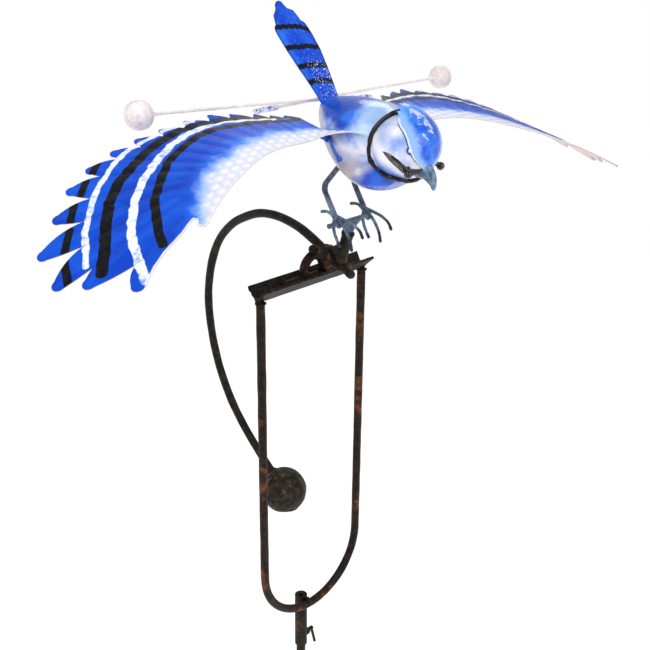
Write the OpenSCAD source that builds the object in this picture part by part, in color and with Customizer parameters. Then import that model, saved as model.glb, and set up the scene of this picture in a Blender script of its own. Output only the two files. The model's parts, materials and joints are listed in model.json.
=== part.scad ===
// Rocking bird wind spinner on a ground stake, in millimetres, +Z up.
// X is the way the bird faces, Y is its left side, and Z = 0 is the ground line on the pole axis.

/* [Stake] */
// Height of the crossbar's lower edge above the ground
frame_z = 1150; // [700:10:1500]
// Diameter of the pole above the ground
pole_d = 11; // [10.5:0.5:13]
// Diameter of the spike that goes into the ground
spike_d = 10; // [8:0.5:10]
// Depth of the pole below the ground line
ground_depth = 200; // [120:10:300]
// Length of the socket tube welded under the yoke
socket_len = 73; // [50:1:100]
// Outer diameter of the socket tube
socket_d = 15; // [15:0.5:18]
// Sideways distance from the pole to the middle of the yoke
yoke_shift = 6; // [0:0.5:8]

/* [Yoke] */
// Diameter of the bar bent into the yoke
bar_d = 9.5; // [8:0.5:12]
// Width of the yoke between the centres of its legs
yoke_w = 150; // [120:1:180]
// Depth of the yoke from the crossbar to the middle of its lower bend
yoke_h = 412; // [340:1:460]
// Leg of the angle iron that makes the crossbar
angle_leg = 20; // [16:0.5:25]
// Thickness of the angle iron
angle_t = 3; // [2:0.5:4]
// Length of the crossbar
crossbar_len = 160; // [150:1:190]

/* [Rocker] */
// Diameter of the pin that rocks in the crossbar
pin_d = 8.5; // [7:0.5:10]
// Diameter of the counterweight arm
arm_d = 9.5; // [8:0.5:11]
// Radius of the arm's long lower bend
arm_low_r = 198.5; // [190:0.5:205]
// Radius of the arm's upper bend
arm_top_r = 97; // [92:0.5:100]
// Diameter of the large counterweight ball
ball_d = 54.5; // [50:0.5:60]

/* [Bird] */
// Angle of the bird's body below level
body_pitch = 22; // [15:1:28]
// Half of the body's length
body_half = 62; // [56:1:66]
// Radius that sets the body's girth
body_r = 40; // [36:0.5:42]
// Radius of the head
head_r = 34; // [32:0.5:36]
// Thickness of the body and head shells
shell_t = 1.3; // [0.8:0.1:2]
// Thickness of the tail and crest sheet
sheet_t = 1.2; // [0.8:0.1:2]
// Diameter of a leg
leg_d = 5; // [4:0.5:6]
// Diameter of a toe
toe_d = 3; // [2.5:0.5:4]

/* [Wings] */
// Thickness of the wing sheet
wing_t = 0.5; // [0.4:0.05:1]
// Radius of the wing's bend from root to tip
wing_bend_r = 600; // [560:10:700]
// Angle of the wing plate and its hinge below level
wing_pitch = 12; // [8:1:16]
// Distance of each wing hinge from the middle of the body
hinge_y = 47; // [46:0.5:50]
// Diameter of a wing's counterweight rod
rod_d = 3; // [2.5:0.5:4]
// Diameter of a wing's counterweight ball
wing_ball_d = 25.9; // [22:0.05:28]

/* [Hidden] */
$fn = 48;

fit = 0.075;
eps = 0.01;
frame_x = socket_d / 2 + bar_d / 2;
pin_z = angle_t * sqrt(2) + (pin_d / 2 + 0.05) * sqrt(2);
socket_top = -yoke_h + 7;
socket_low = socket_top - socket_len;
screw_z = socket_low + 12;

arm_low_c = [20, -70];
ball_c = [-47.8, -274.7];
arm_turn = 157.5;
arm_top_c = arm_low_c + (arm_low_r - arm_top_r) * [cos(arm_turn), sin(arm_turn)];
arm_front = 68;
ball_dir = ball_c - arm_low_c;
arm_end = 360 + atan2(ball_dir[1], ball_dir[0]) - acos(arm_low_r / norm(ball_dir));
arm_tail = arm_low_c + arm_low_r * [cos(arm_end), sin(arm_end)];
arm_head = arm_top_c + arm_top_r * [cos(arm_front), sin(arm_front)];
lug = arm_head + 66 * [sin(arm_front), -cos(arm_front)];
stub_end = [54, 25.5];
stub_far = stub_end + 0.2 * (stub_end - lug);
stub_d = 8.5;

neck_foot = [39, 35];
neck_lean = 17;
neck_len = 36;
neck_d = 12;
stem_d = 8;

foot_x = 56;
foot_y = 21;
foot_z = 84;

body_c = [71, 170];
body_taper = 0.44;
head_c = [118, 169];
eye_c = [142.6, 20.8, 150.8];
eye_d = 8;
tail_base = [21.7, 197.8];
tail_rise = 52.7;

wing_top_z = 184;
wing_flat_y = 45;
wing_x0 = 30;
tube_d = 6.5;
hinge_half = 14;
pin_wire = 3;
right_flap = 8;
left_flap = 3;
rod_weld_y = 80;
left_rod = [3, -207, 219];
right_rod = [-2, -206, 228];

// Height of the wing's underside, less a depth below it, at a place seen from above.
function wing_z(x, y, depth) = wing_top_z + (sqrt(
  pow(wing_bend_r - wing_t / 2 - depth, 2) - pow(y - wing_flat_y, 2)
) - wing_bend_r - (x - wing_x0) * sin(wing_pitch)) / cos(wing_pitch);

hinge_mid = [52, wing_z(52, hinge_y, tube_d / 2)];

// Places a part in the yoke's frame, whose origin is the middle of the crossbar's lower edge.
module at_yoke() {
  translate([frame_x, yoke_shift, frame_z]) children();
}

// A straight rod between two points.
module rod(a, b, d) {
  v = b - a;
  translate(a)
    rotate([0, acos(v[2] / norm(v)), atan2(v[1], v[0])])
      cylinder(d = d, h = norm(v));
}

// A bent rod through a list of points, with a slightly swollen ball at each bend.
module bent_rod(points, d) {
  for (i = [0 : len(points) - 2]) rod(points[i], points[i + 1], d);
  for (i = [1 : len(points) - 2]) translate(points[i]) sphere(d = d + 0.15);
}

// A bend of a rod in the XZ plane, between two angles about the centre c.
module bend_xz(c, r, a0, a1, d) {
  translate([c[0], 0, c[1]])
    rotate([90, 0, 0])
      rotate([0, 0, a0])
        rotate_extrude(angle = a1 - a0)
          translate([r, 0]) circle(d = d);
}

// Mirrors a part made for the bird's left side to its right side.
module side(s) {
  if (s < 0) mirror([0, 1, 0]) children();
  else children();
}

// ---- stake and yoke ----

module pole() {
  pole_top = frame_z + socket_top - 4;
  tip_h = 30;
  color("#4a4038") union() {
    cylinder(d = pole_d, h = pole_top);
    translate([0, 0, tip_h - ground_depth]) cylinder(d = spike_d, h = ground_depth - tip_h);
    translate([0, 0, -ground_depth]) cylinder(d1 = 1.5, d2 = spike_d, h = tip_h);
  }
}

module socket_tube() {
  color("#4a4038") translate([0, 0, frame_z + socket_low]) difference() {
    cylinder(d = socket_d, h = socket_len);
    translate([0, 0, -1]) cylinder(d = pole_d + 2 * fit, h = socket_len - 2);
    translate([0, 0, 12]) rotate([-90, 0, 0]) cylinder(d = 5.2, h = socket_d);
  }
}

module clamp_nut() {
  color("#5a3d2b") translate([0, 0, frame_z + screw_z]) rotate([-90, 0, 0]) difference() {
    cylinder(d = 10, h = socket_d / 2 + 4, $fn = 6);
    translate([0, 0, -1]) cylinder(d = 5 + 2 * fit, h = 20);
    rotate([90, 0, 0]) cylinder(d = socket_d + eps, h = 20, center = true);
  }
}

module clamp_screw() {
  color("#5a3d2b") translate([0, 0, frame_z + screw_z]) {
    rotate([-90, 0, 0]) translate([0, 0, pole_d / 2 + 0.05]) cylinder(d = 5, h = 12.5);
    translate([0, 18, 0]) sphere(d = 5.4);
    rod([0, 18, 0], [0, 24, -24], 3.5);
  }
}

module yoke_bar() {
  r = yoke_w / 2;
  leg_low = -yoke_h + r;
  color("#5a3d2b") at_yoke() difference() {
    union() {
      for (s = [-1, 1]) translate([0, s * r, leg_low]) cylinder(d = bar_d, h = 8 - leg_low);
      translate([0, 0, leg_low]) rotate([0, 90, 0]) rotate([0, 0, -90])
        rotate_extrude(angle = 180) translate([r, 0]) circle(d = bar_d);
    }
    rotate([0, -45, 0]) translate([0, -100, 0]) cube([200, 200, 200]);
  }
}

module crossbar() {
  leg = angle_leg;
  color("#4a4038") at_yoke() rotate([0, -45, 0]) translate([0, crossbar_len / 2, 0]) rotate([90, 0, 0])
    linear_extrude(crossbar_len)
      polygon([[0, 0], [leg, 0], [leg, angle_t], [angle_t, angle_t], [angle_t, leg], [0, leg]]);
}

// ---- rocker ----

module pivot_pin() {
  color("#6b5a45") at_yoke() translate([0, -42, pin_z]) rotate([-90, 0, 0]) cylinder(d = pin_d, h = 94);
}

module saddle_arch() {
  rod_w = 8;
  r = 13;
  arch_z = 33 - r;
  color("#7a4a2c") at_yoke() difference() {
    union() {
      translate([0, 0, arch_z]) rotate([0, 90, 0]) rotate([0, 0, 90])
        rotate_extrude(angle = 180) translate([r, 0]) circle(d = rod_w);
      for (s = [-1, 1]) translate([0, s * r, pin_z]) cylinder(d = rod_w, h = arch_z - pin_z);
      translate([0, 0, arch_z + r]) cylinder(d = 10, h = 14);
    }
    translate([0, -50, pin_z]) rotate([-90, 0, 0]) cylinder(d = pin_d, h = 100);
    rod([arm_head[0], 0, arm_head[1]], [lug[0], 0, lug[1]], arm_d);
    translate([-30, -20, 0]) rotate([0, 90 - arm_front, 0]) translate([0, 0, 60]) cube([80, 40, 40]);
  }
}

module counterweight_arm() {
  color("#4a4038") at_yoke() difference() {
    union() {
      rod([arm_head[0], 0, arm_head[1]], [lug[0], 0, lug[1]], arm_d);
      bend_xz(arm_top_c, arm_top_r, arm_front, arm_turn, arm_d);
      bend_xz(arm_low_c, arm_low_r, arm_turn, arm_end, arm_d);
      rod([arm_tail[0], 0, arm_tail[1]], [ball_c[0], 0, ball_c[1]], arm_d);
      for (p = [arm_head, arm_tail, arm_top_c + arm_top_r * [cos(arm_turn), sin(arm_turn)]])
        translate([p[0], 0, p[1]]) sphere(d = arm_d + 0.3);
      translate([lug[0], 3.5, lug[1]]) rotate([90, 0, 0]) cylinder(d = 16, h = 7);
    }
    translate([ball_c[0], 0, ball_c[1]]) sphere(d = ball_d);
  }
}

module counterweight_ball() {
  color("#4f4a3c") at_yoke() translate([ball_c[0], 0, ball_c[1]]) sphere(d = ball_d);
}

module stub_rod() {
  color("#4a4038") at_yoke() difference() {
    rod([lug[0], 0, lug[1]], [stub_end[0], 0, stub_end[1]], stub_d);
    translate([lug[0], 3.6, lug[1]]) rotate([90, 0, 0]) cylinder(d = 16, h = 7.2);
    rod([arm_head[0], 0, arm_head[1]], [lug[0], 0, lug[1]], arm_d);
  }
}

// Places a part on the leaning axis of the neck tube, measured up from its foot.
module at_neck() {
  translate([neck_foot[0], 0, neck_foot[1]]) rotate([0, neck_lean, 0]) children();
}

module neck_tube() {
  color("#3f3a35") at_yoke() difference() {
    at_neck() translate([0, 0, -8]) cylinder(d = neck_d, h = neck_len + 8);
    at_neck() translate([0, 0, 10]) cylinder(d = stem_d + 2 * fit, h = neck_len);
    at_neck() translate([0, 0, 20]) rotate([90, 0, 0]) cylinder(d = 4.2, h = neck_d);
    rod([lug[0], 0, lug[1]], [stub_far[0], 0, stub_far[1]], stub_d + eps);
    translate([0, -20, -20]) cube([80, 40, 38.5]);
    translate([lug[0], 3.6, lug[1]]) rotate([90, 0, 0]) cylinder(d = 16, h = 7.2);
  }
}

module neck_nut() {
  color("#5a3d2b") at_yoke() at_neck() translate([0, 0, 20]) rotate([90, 0, 0]) difference() {
    cylinder(d = 9, h = neck_d / 2 + 3.5, $fn = 6);
    translate([0, 0, -1]) cylinder(d = 4 + 2 * fit, h = 20);
    rotate([90, 0, 0]) cylinder(d = neck_d + eps, h = 20, center = true);
  }
}

module neck_screw() {
  color("#5a3d2b") at_yoke() at_neck() translate([0, 0, 20]) rotate([90, 0, 0]) {
    translate([0, 0, stem_d / 2]) cylinder(d = 4, h = 7);
    translate([0, 0, stem_d / 2 + 7 - eps]) cylinder(d = 7, h = 3, $fn = 6);
  }
}

// ---- legs and feet ----

module foot_bracket() {
  neck_top = neck_len - 1;
  color("#54687c") at_yoke() difference() {
    union() {
      at_neck() translate([0, 0, neck_top - 22]) cylinder(d = stem_d, h = 30);
      rotate([0, 0, 90]) translate([0, -foot_x + 1.5, 0]) rotate([90, 0, 0])
        linear_extrude(3) polygon([[-17, foot_z], [17, foot_z], [4, foot_z - 13], [-4, foot_z - 13]]);
    }
    rod([foot_x, -60, foot_z], [foot_x, 60, foot_z], leg_d);
    translate([0, -30, foot_z]) cube([100, 60, 40]);
  }
}

module perch_rod() {
  color("#54687c") at_yoke() rod([foot_x, -35, foot_z], [foot_x, 24, foot_z], leg_d);
}

module leg(s) {
  color("#54687c") at_yoke() difference() {
    bent_rod([[foot_x, s * foot_y, foot_z], [34, s * foot_y, 117], [56, s * foot_y, 142]], leg_d);
    rod([foot_x, -60, foot_z], [foot_x, 60, foot_z], leg_d);
    body_solid();
  }
}

module right_leg() {
  leg(-1);
}

module left_leg() {
  leg(1);
}

// Four toes bent down over the perch rod, three forward and one back.
module toes(s) {
  y = s * foot_y;
  color("#54687c") at_yoke() difference() {
    union() {
      for (t = [[68, 10, 66, 3.2], [74, 0, 61, 0], [78, -10, 72, -3.2]]) bent_rod([
        [51.7, y + s * t[3], foot_z + 6.5],
        [62, y + s * (t[1] + t[3]) / 2, 87 + 0.2 * (t[2] - 66)],
        [t[0], y + s * t[1], t[2]],
      ], toe_d);
      bent_rod([[51.7, y, foot_z + 6.5], [43, y, 94.5], [33, y, 92]], toe_d);
    }
    rod([foot_x, y, foot_z], [34, y, 117], leg_d);
  }
}

module right_toes() {
  toes(-1);
}

module left_toes() {
  toes(1);
}

// ---- body and head ----

// Points of the egg's side, from the tail end to the chest, with a wall removed.
function egg(wall) = [
  for (i = [0 : 24]) let (a = -90 + i * 7.5, t = sin(a))
    [max(0, cos(a) * (body_r * (1 + body_taper * t) - wall)), t * (body_half - wall)]
];

module egg_solid(wall, turn) {
  translate([body_c[0], 0, body_c[1]]) rotate([0, 90 + body_pitch, 0])
    rotate_extrude(angle = turn) polygon(egg(wall));
}

module body_solid() {
  egg_solid(0, 360);
}

module body_half_shell(s) {
  color("#2a62c8") at_yoke() side(s) difference() {
    egg_solid(0, 180);
    egg_solid(shell_t, 360);
  }
}

module body_shell_right() {
  body_half_shell(-1);
}

module body_shell_left() {
  body_half_shell(1);
}

module head_shell() {
  color("#d5dcec") at_yoke() difference() {
    translate([head_c[0], 0, head_c[1]]) sphere(r = head_r);
    translate([head_c[0], 0, head_c[1]]) sphere(r = head_r - shell_t);
    body_solid();
  }
}

module collar_ring() {
  color("#151515") at_yoke() difference() {
    translate([head_c[0] - 4, 0, head_c[1]]) rotate([0, 90, 0])
      rotate_extrude() translate([head_r + 0.6, 0]) circle(d = 5);
    translate([head_c[0], 0, head_c[1]]) sphere(r = head_r);
    body_solid();
  }
}

// The crest is a strip of a ball shell over the crown, cut to a saw edge at the back.
module crest_plate() {
  r = head_r + 0.1;
  color("#1f63d6") at_yoke() difference() {
    intersection() {
      translate([head_c[0], 0, head_c[1]]) difference() {
        sphere(r = r + sheet_t);
        sphere(r = r);
      }
      translate([head_c[0], 0, head_c[1]]) rotate([0, -20, 0])
        linear_extrude(60, center = true)
          polygon([[9, -27], [20, -26], [40, -9], [40, 9], [20, 26], [9, 27],
            [13, 21], [4, 18], [11, 12], [1, 7], [9, 0], [1, -7], [11, -12], [4, -18], [13, -21]]);
      translate([head_c[0], -60, head_c[1] - 16]) cube([60, 120, 80]);
    }
    body_solid();
    beak_cone(0.2);
    for (s = [-1, 1]) translate([eye_c[0], s * eye_c[1], eye_c[2]]) sphere(d = eye_d + 0.2);
  }
}

module crest_rivets() {
  color("#bcd0ee") at_yoke() for (s = [-1, 1]) rod(
    [head_c[0] + 25.6, s * 24.1, head_c[1] + 2.2], [head_c[0] + 28, s * 26.2, head_c[1] + 2.4], 6);
}

module beak_cone(grow) {
  translate([142, 0, 153]) rotate([0, 180 - 30, 0]) cylinder(d1 = 18 + grow, d2 = 2.4 + grow, h = 23);
}

module beak() {
  color("#5b7286") at_yoke() difference() {
    beak_cone(0);
    translate([head_c[0], 0, head_c[1]]) sphere(r = head_r);
  }
}

module eye(s) {
  color("black") at_yoke() difference() {
    translate([eye_c[0], s * eye_c[1], eye_c[2]]) sphere(d = eye_d);
    translate([head_c[0], 0, head_c[1]]) sphere(r = head_r);
  }
}

module right_eye() {
  eye(-1);
}

module left_eye() {
  eye(1);
}

// Places a part on the tail's root: X runs up and back along the tail, and Z is its underside.
module at_tail() {
  translate([tail_base[0], 0, tail_base[1]]) rotate([0, tail_rise - 180, 0]) children();
}

// The tail is a flat blade with stepped shoulders and a rounded nib, and it leans a little to the right.
module tail_blade() {
  color("#2a62d8") at_yoke() difference() {
    at_tail() translate([0, 0, -sheet_t / 2]) linear_extrude(sheet_t) union() {
      polygon([
        [-6, -12], [18, -16.5], [36, -20.5], [58, -24], [76, -25.5], [84, -22.5], [95, -19.5],
        [100, -14.5], [104, -12.5], [101, -1], [98, 5], [91, 8], [85, 10], [83, 13.5], [78, 15],
        [72, 16.5], [52, 17.5], [34, 16], [16, 14], [-6, 11],
      ]);
      translate([103, -7.5]) circle(r = 5.5);
    }
    body_solid();
  }
}

module tail_tab() {
  tab_t = 2.5;
  color("#2a62d8") at_yoke() difference() {
    at_tail() translate([-9, -8, sheet_t / 2]) cube([26, 16, tab_t]);
    body_solid();
  }
}

// ---- wings ----

// Places a part on a wing hinge: X runs forward along the hinge pin.
module at_hinge() {
  translate([hinge_mid[0], hinge_y, hinge_mid[1]]) rotate([0, wing_pitch, 0]) children();
}

// Raises a wing about its hinge to the pose it rests in, the right wing higher than the left.
module raised(s) {
  at_hinge() rotate([s < 0 ? right_flap : left_flap, -wing_pitch, 0])
    translate([-hinge_mid[0], -hinge_y, -hinge_mid[1]]) children();
}

// The hinge pin is a staple: its rear end bends into the body, and its front end runs down onto it.
module hinge_pin(s) {
  color("#2a62c8") at_yoke() side(s) difference() {
    at_hinge() bent_rod([
      [-hinge_half - 4, -27, -3], [-hinge_half - 4, 0, 0], [hinge_half + 3, 0, 0], [hinge_half + 15, -11, -14],
    ], pin_wire);
    body_solid();
  }
}

module right_hinge_pin() {
  hinge_pin(-1);
}

module left_hinge_pin() {
  hinge_pin(1);
}

module hinge_tube(s) {
  color("#2a62c8") at_yoke() side(s) at_hinge() translate([-hinge_half, 0, 0]) rotate([0, 90, 0]) difference() {
    cylinder(d = tube_d, h = 2 * hinge_half);
    translate([0, 0, -1]) cylinder(d = pin_wire + 2 * fit, h = 2 * hinge_half + 2);
  }
}

module right_hinge_tube() {
  hinge_tube(-1);
}

module left_hinge_tube() {
  hinge_tube(1);
}

// One feather: a tapering strip with a round end, from a point inside the wing to its tip.
module feather(from, tip, w) {
  tip_r = 5;
  v = tip - from;
  translate(from) rotate([0, 0, atan2(v[1], v[0])]) hull() {
    translate([0, -w / 2]) square([norm(v) - 2.6 * tip_r, w]);
    translate([norm(v) - tip_r, 0]) circle(r = tip_r);
  }
}

// The outline of the left wing seen from above: the body of the wing and its feathers.
module wing_outline() {
  polygon([
    [98, 42], [80, 54], [76, 66], [79, 84], [82, 104], [83, 125], [91, 159], [108, 198], [124, 229],
    [133, 244], [138, 251], [133, 255], [126, 253], [134, 271], [140, 291], [146, 303],
    [110, 300], [66, 296], [40, 272], [26, 240], [20, 205], [17, 170], [17, 130], [20, 94], [24, 60], [22, 43],
  ]);
  feather([135, 280], [155, 326], 22);
  feather([105, 295], [121, 347], 22);
  feather([90, 290], [104, 360], 23);
  feather([62, 275], [69, 350], 24);
  feather([62, 250], [44, 324], 24);
  feather([52, 235], [23, 299], 24);
  feather([48, 222], [12, 274], 23);
  feather([45, 205], [5, 246], 23);
  feather([45, 185], [2, 220], 23);
  feather([45, 163], [0, 192], 23);
  feather([45, 142], [-2, 164], 23);
  feather([45, 120], [-4, 135], 22);
  feather([45, 101], [3, 113], 20);
  feather([45, 81], [9, 88], 18);
}

module wing_sheet() {
  axis_z = wing_top_z - wing_bend_r / cos(wing_pitch);
  intersection() {
    translate([wing_x0, wing_flat_y, axis_z]) rotate([0, 90 + wing_pitch, 0]) difference() {
      cylinder(r = wing_bend_r + wing_t / 2, h = 500, center = true, $fn = 192);
      cylinder(r = wing_bend_r - wing_t / 2, h = 600, center = true, $fn = 192);
    }
    linear_extrude(400) wing_outline();
  }
}

module wing(s) {
  color("#1f5bd0") at_yoke() side(s) difference() {
    raised(s) wing_sheet();
    at_hinge() rotate([0, 90, 0]) cylinder(d = tube_d, h = 2 * hinge_half + 2, center = true);
  }
}

module right_wing() {
  wing(-1);
}

module left_wing() {
  wing(1);
}

// The far end of a wing's rod, where its ball is.
function rod_end(s) = s < 0 ? right_rod : left_rod;

module wing_rod(s) {
  p = rod_end(s);
  color("#efe9e6") at_yoke() side(s) raised(s) difference() {
    rod([p[0], rod_weld_y, wing_z(p[0], rod_weld_y, rod_d / 2)], p, rod_d);
    translate(p) sphere(d = wing_ball_d);
  }
}

module right_wing_rod() {
  wing_rod(-1);
}

module left_wing_rod() {
  wing_rod(1);
}

module wing_ball(s) {
  color("#efe6e4") at_yoke() side(s) raised(s) translate(rod_end(s)) sphere(d = wing_ball_d);
}

module right_wing_ball() {
  wing_ball(-1);
}

module left_wing_ball() {
  wing_ball(1);
}

pole();
socket_tube();
clamp_nut();
clamp_screw();
yoke_bar();
crossbar();
pivot_pin();
saddle_arch();
counterweight_arm();
counterweight_ball();
stub_rod();
neck_tube();
neck_nut();
neck_screw();
foot_bracket();
perch_rod();
right_leg();
left_leg();
right_toes();
left_toes();
body_shell_right();
body_shell_left();
head_shell();
collar_ring();
crest_plate();
crest_rivets();
beak();
right_eye();
left_eye();
tail_blade();
tail_tab();
right_hinge_pin();
left_hinge_pin();
right_hinge_tube();
left_hinge_tube();
right_wing();
left_wing();
right_wing_rod();
left_wing_rod();
right_wing_ball();
left_wing_ball();
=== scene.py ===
import json
import math

import bpy
import numpy as np
from mathutils import Matrix, Vector, noise
from mathutils.geometry import delaunay_2d_cdt


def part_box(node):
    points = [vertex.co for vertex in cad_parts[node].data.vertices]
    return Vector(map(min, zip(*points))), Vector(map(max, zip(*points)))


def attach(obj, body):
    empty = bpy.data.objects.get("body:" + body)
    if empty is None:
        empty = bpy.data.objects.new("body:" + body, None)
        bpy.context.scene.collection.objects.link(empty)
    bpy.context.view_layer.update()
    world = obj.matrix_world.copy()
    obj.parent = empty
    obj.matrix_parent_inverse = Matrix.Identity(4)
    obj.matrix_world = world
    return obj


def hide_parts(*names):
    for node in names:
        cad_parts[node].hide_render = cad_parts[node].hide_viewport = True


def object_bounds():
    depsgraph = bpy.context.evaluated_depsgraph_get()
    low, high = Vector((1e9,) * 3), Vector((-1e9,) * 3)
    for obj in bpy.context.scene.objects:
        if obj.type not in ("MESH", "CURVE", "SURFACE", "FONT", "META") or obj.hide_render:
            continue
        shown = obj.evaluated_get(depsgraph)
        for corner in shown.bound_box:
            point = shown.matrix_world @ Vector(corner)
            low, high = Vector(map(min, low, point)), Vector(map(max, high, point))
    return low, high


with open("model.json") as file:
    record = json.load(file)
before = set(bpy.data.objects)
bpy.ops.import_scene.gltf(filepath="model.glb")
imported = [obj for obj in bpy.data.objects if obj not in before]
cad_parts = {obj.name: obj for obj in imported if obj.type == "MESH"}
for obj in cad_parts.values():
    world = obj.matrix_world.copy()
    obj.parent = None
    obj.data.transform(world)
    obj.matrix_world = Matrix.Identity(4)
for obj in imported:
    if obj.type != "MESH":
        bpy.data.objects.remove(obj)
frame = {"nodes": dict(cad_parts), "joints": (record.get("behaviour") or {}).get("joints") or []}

CAD_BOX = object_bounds()
MM = 0.001
SIDES = ((-1, "right"), (1, "left"))

# ---------------------------------------------------------------- places
# Lengths below are millimetres in the yoke's frame: the origin is the middle of the crossbar's
# lower edge, +X is the way the bird faces, +Y is its left side, +Z is up.
bar_lo, bar_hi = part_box("crossbar")
ORIGIN = Vector(((bar_lo.x + bar_hi.x) / 2, (bar_lo.y + bar_hi.y) / 2, bar_lo.z))


def at(p):
    """A place in the shared frame, in metres."""
    return ORIGIN + Vector(p) * MM


def yoke_mm(p):
    """A place in the yoke's frame, in millimetres."""
    return (Vector(p) - ORIGIN) / MM


def slope(angle):
    """Forward along a slope that drops by the angle, and square up from it."""
    return (Vector((math.cos(angle), 0, -math.sin(angle))),
            Vector((math.sin(angle), 0, math.cos(angle))))


def ease(value, low, high):
    """Rises smoothly from 0 at low to 1 at high."""
    f = min(1.0, max(0.0, (value - low) / (high - low)))
    return f * f * (3 - 2 * f)


def rgb(r, g, b):
    """A colour from 0 to 255, as the shader's linear colour."""
    return (*(v / 12.92 if v <= 0.04045 else ((v + 0.055) / 1.055) ** 2.4
              for v in (r / 255, g / 255, b / 255)), 1.0)


def new_object(name, data):
    obj = bpy.data.objects.new(name, data)
    bpy.context.scene.collection.objects.link(obj)
    return obj


# ---------------------------------------------------------------- camera, floor and light
YAW, PITCH, ROLL = math.radians(45.5), math.radians(22.8), math.radians(0.6)
EYE = (705.7, -699.7, 371.4)
LENS_MM, SENSOR_MM = 55.384615, 36.0
FLOOR_HALF, FLOOR_GAP = 60.0, 0.0005  # metres
LIGHT_TARGET = (0, 0, 60)
LIGHTS = (  # name, place, size in metres, watts
    ("key_light", (500, -1300, 1500), 1.3, 21),
    ("front_light", (1500, 300, 700), 1.0, 7),
    ("rim_light", (-900, 1300, 1300), 0.8, 5),
)


def make_camera():
    cy, sy, cp, sp = math.cos(YAW), math.sin(YAW), math.cos(PITCH), math.sin(PITCH)
    ahead = Vector((-cy * cp, sy * cp, -sp))
    right = Vector((sy, cy, 0))
    up = right.cross(ahead)
    cr, sr = math.cos(ROLL), math.sin(ROLL)
    right, up = right * cr + up * sr, up * cr - right * sr
    data = bpy.data.cameras.new("camera")
    data.sensor_width = SENSOR_MM
    data.lens = LENS_MM
    data.clip_end = 200.0
    camera = new_object("camera", data)
    camera.matrix_world = Matrix.Translation(at(EYE)) @ Matrix(
        (right, up, -ahead)).transposed().to_4x4()
    bpy.context.scene.camera = camera


def make_stage():
    h, z = FLOOR_HALF, CAD_BOX[0][2] - FLOOR_GAP
    mesh = bpy.data.meshes.new("floor")
    mesh.from_pydata([(-h, -h, z), (h, -h, z), (h, h, z), (-h, h, z)], [], [(0, 1, 2, 3)])
    paper = bpy.data.materials.new("floor_paper")
    paper.use_nodes = True
    shader = paper.node_tree.nodes["Principled BSDF"]
    for key, value in {"Base Color": (0.9, 0.9, 0.9, 1), "Roughness": 0.9,
                       "Specular IOR Level": 0.0, "Emission Color": (1, 1, 1, 1),
                       "Emission Strength": 0.55}.items():
        shader.inputs[key].default_value = value
    mesh.materials.append(paper)
    new_object("floor", mesh)


def make_light():
    scene = bpy.context.scene
    scene.view_settings.view_transform = "Standard"
    world = bpy.data.worlds.new("studio")
    world.use_nodes = True
    back = world.node_tree.nodes["Background"]
    back.inputs["Color"].default_value = (1, 1, 1, 1)
    back.inputs["Strength"].default_value = 0.5
    scene.world = world
    for name, place, size, watts in LIGHTS:
        data = bpy.data.lights.new(name, "AREA")
        data.shape = "DISK"
        data.size = size
        data.energy = watts
        lamp = new_object(name, data)
        lamp.location = at(place)
        aim = at(LIGHT_TARGET) - lamp.location
        lamp.rotation_euler = aim.to_track_quat("-Z", "Y").to_euler()


make_camera()
make_stage()
make_light()


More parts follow.
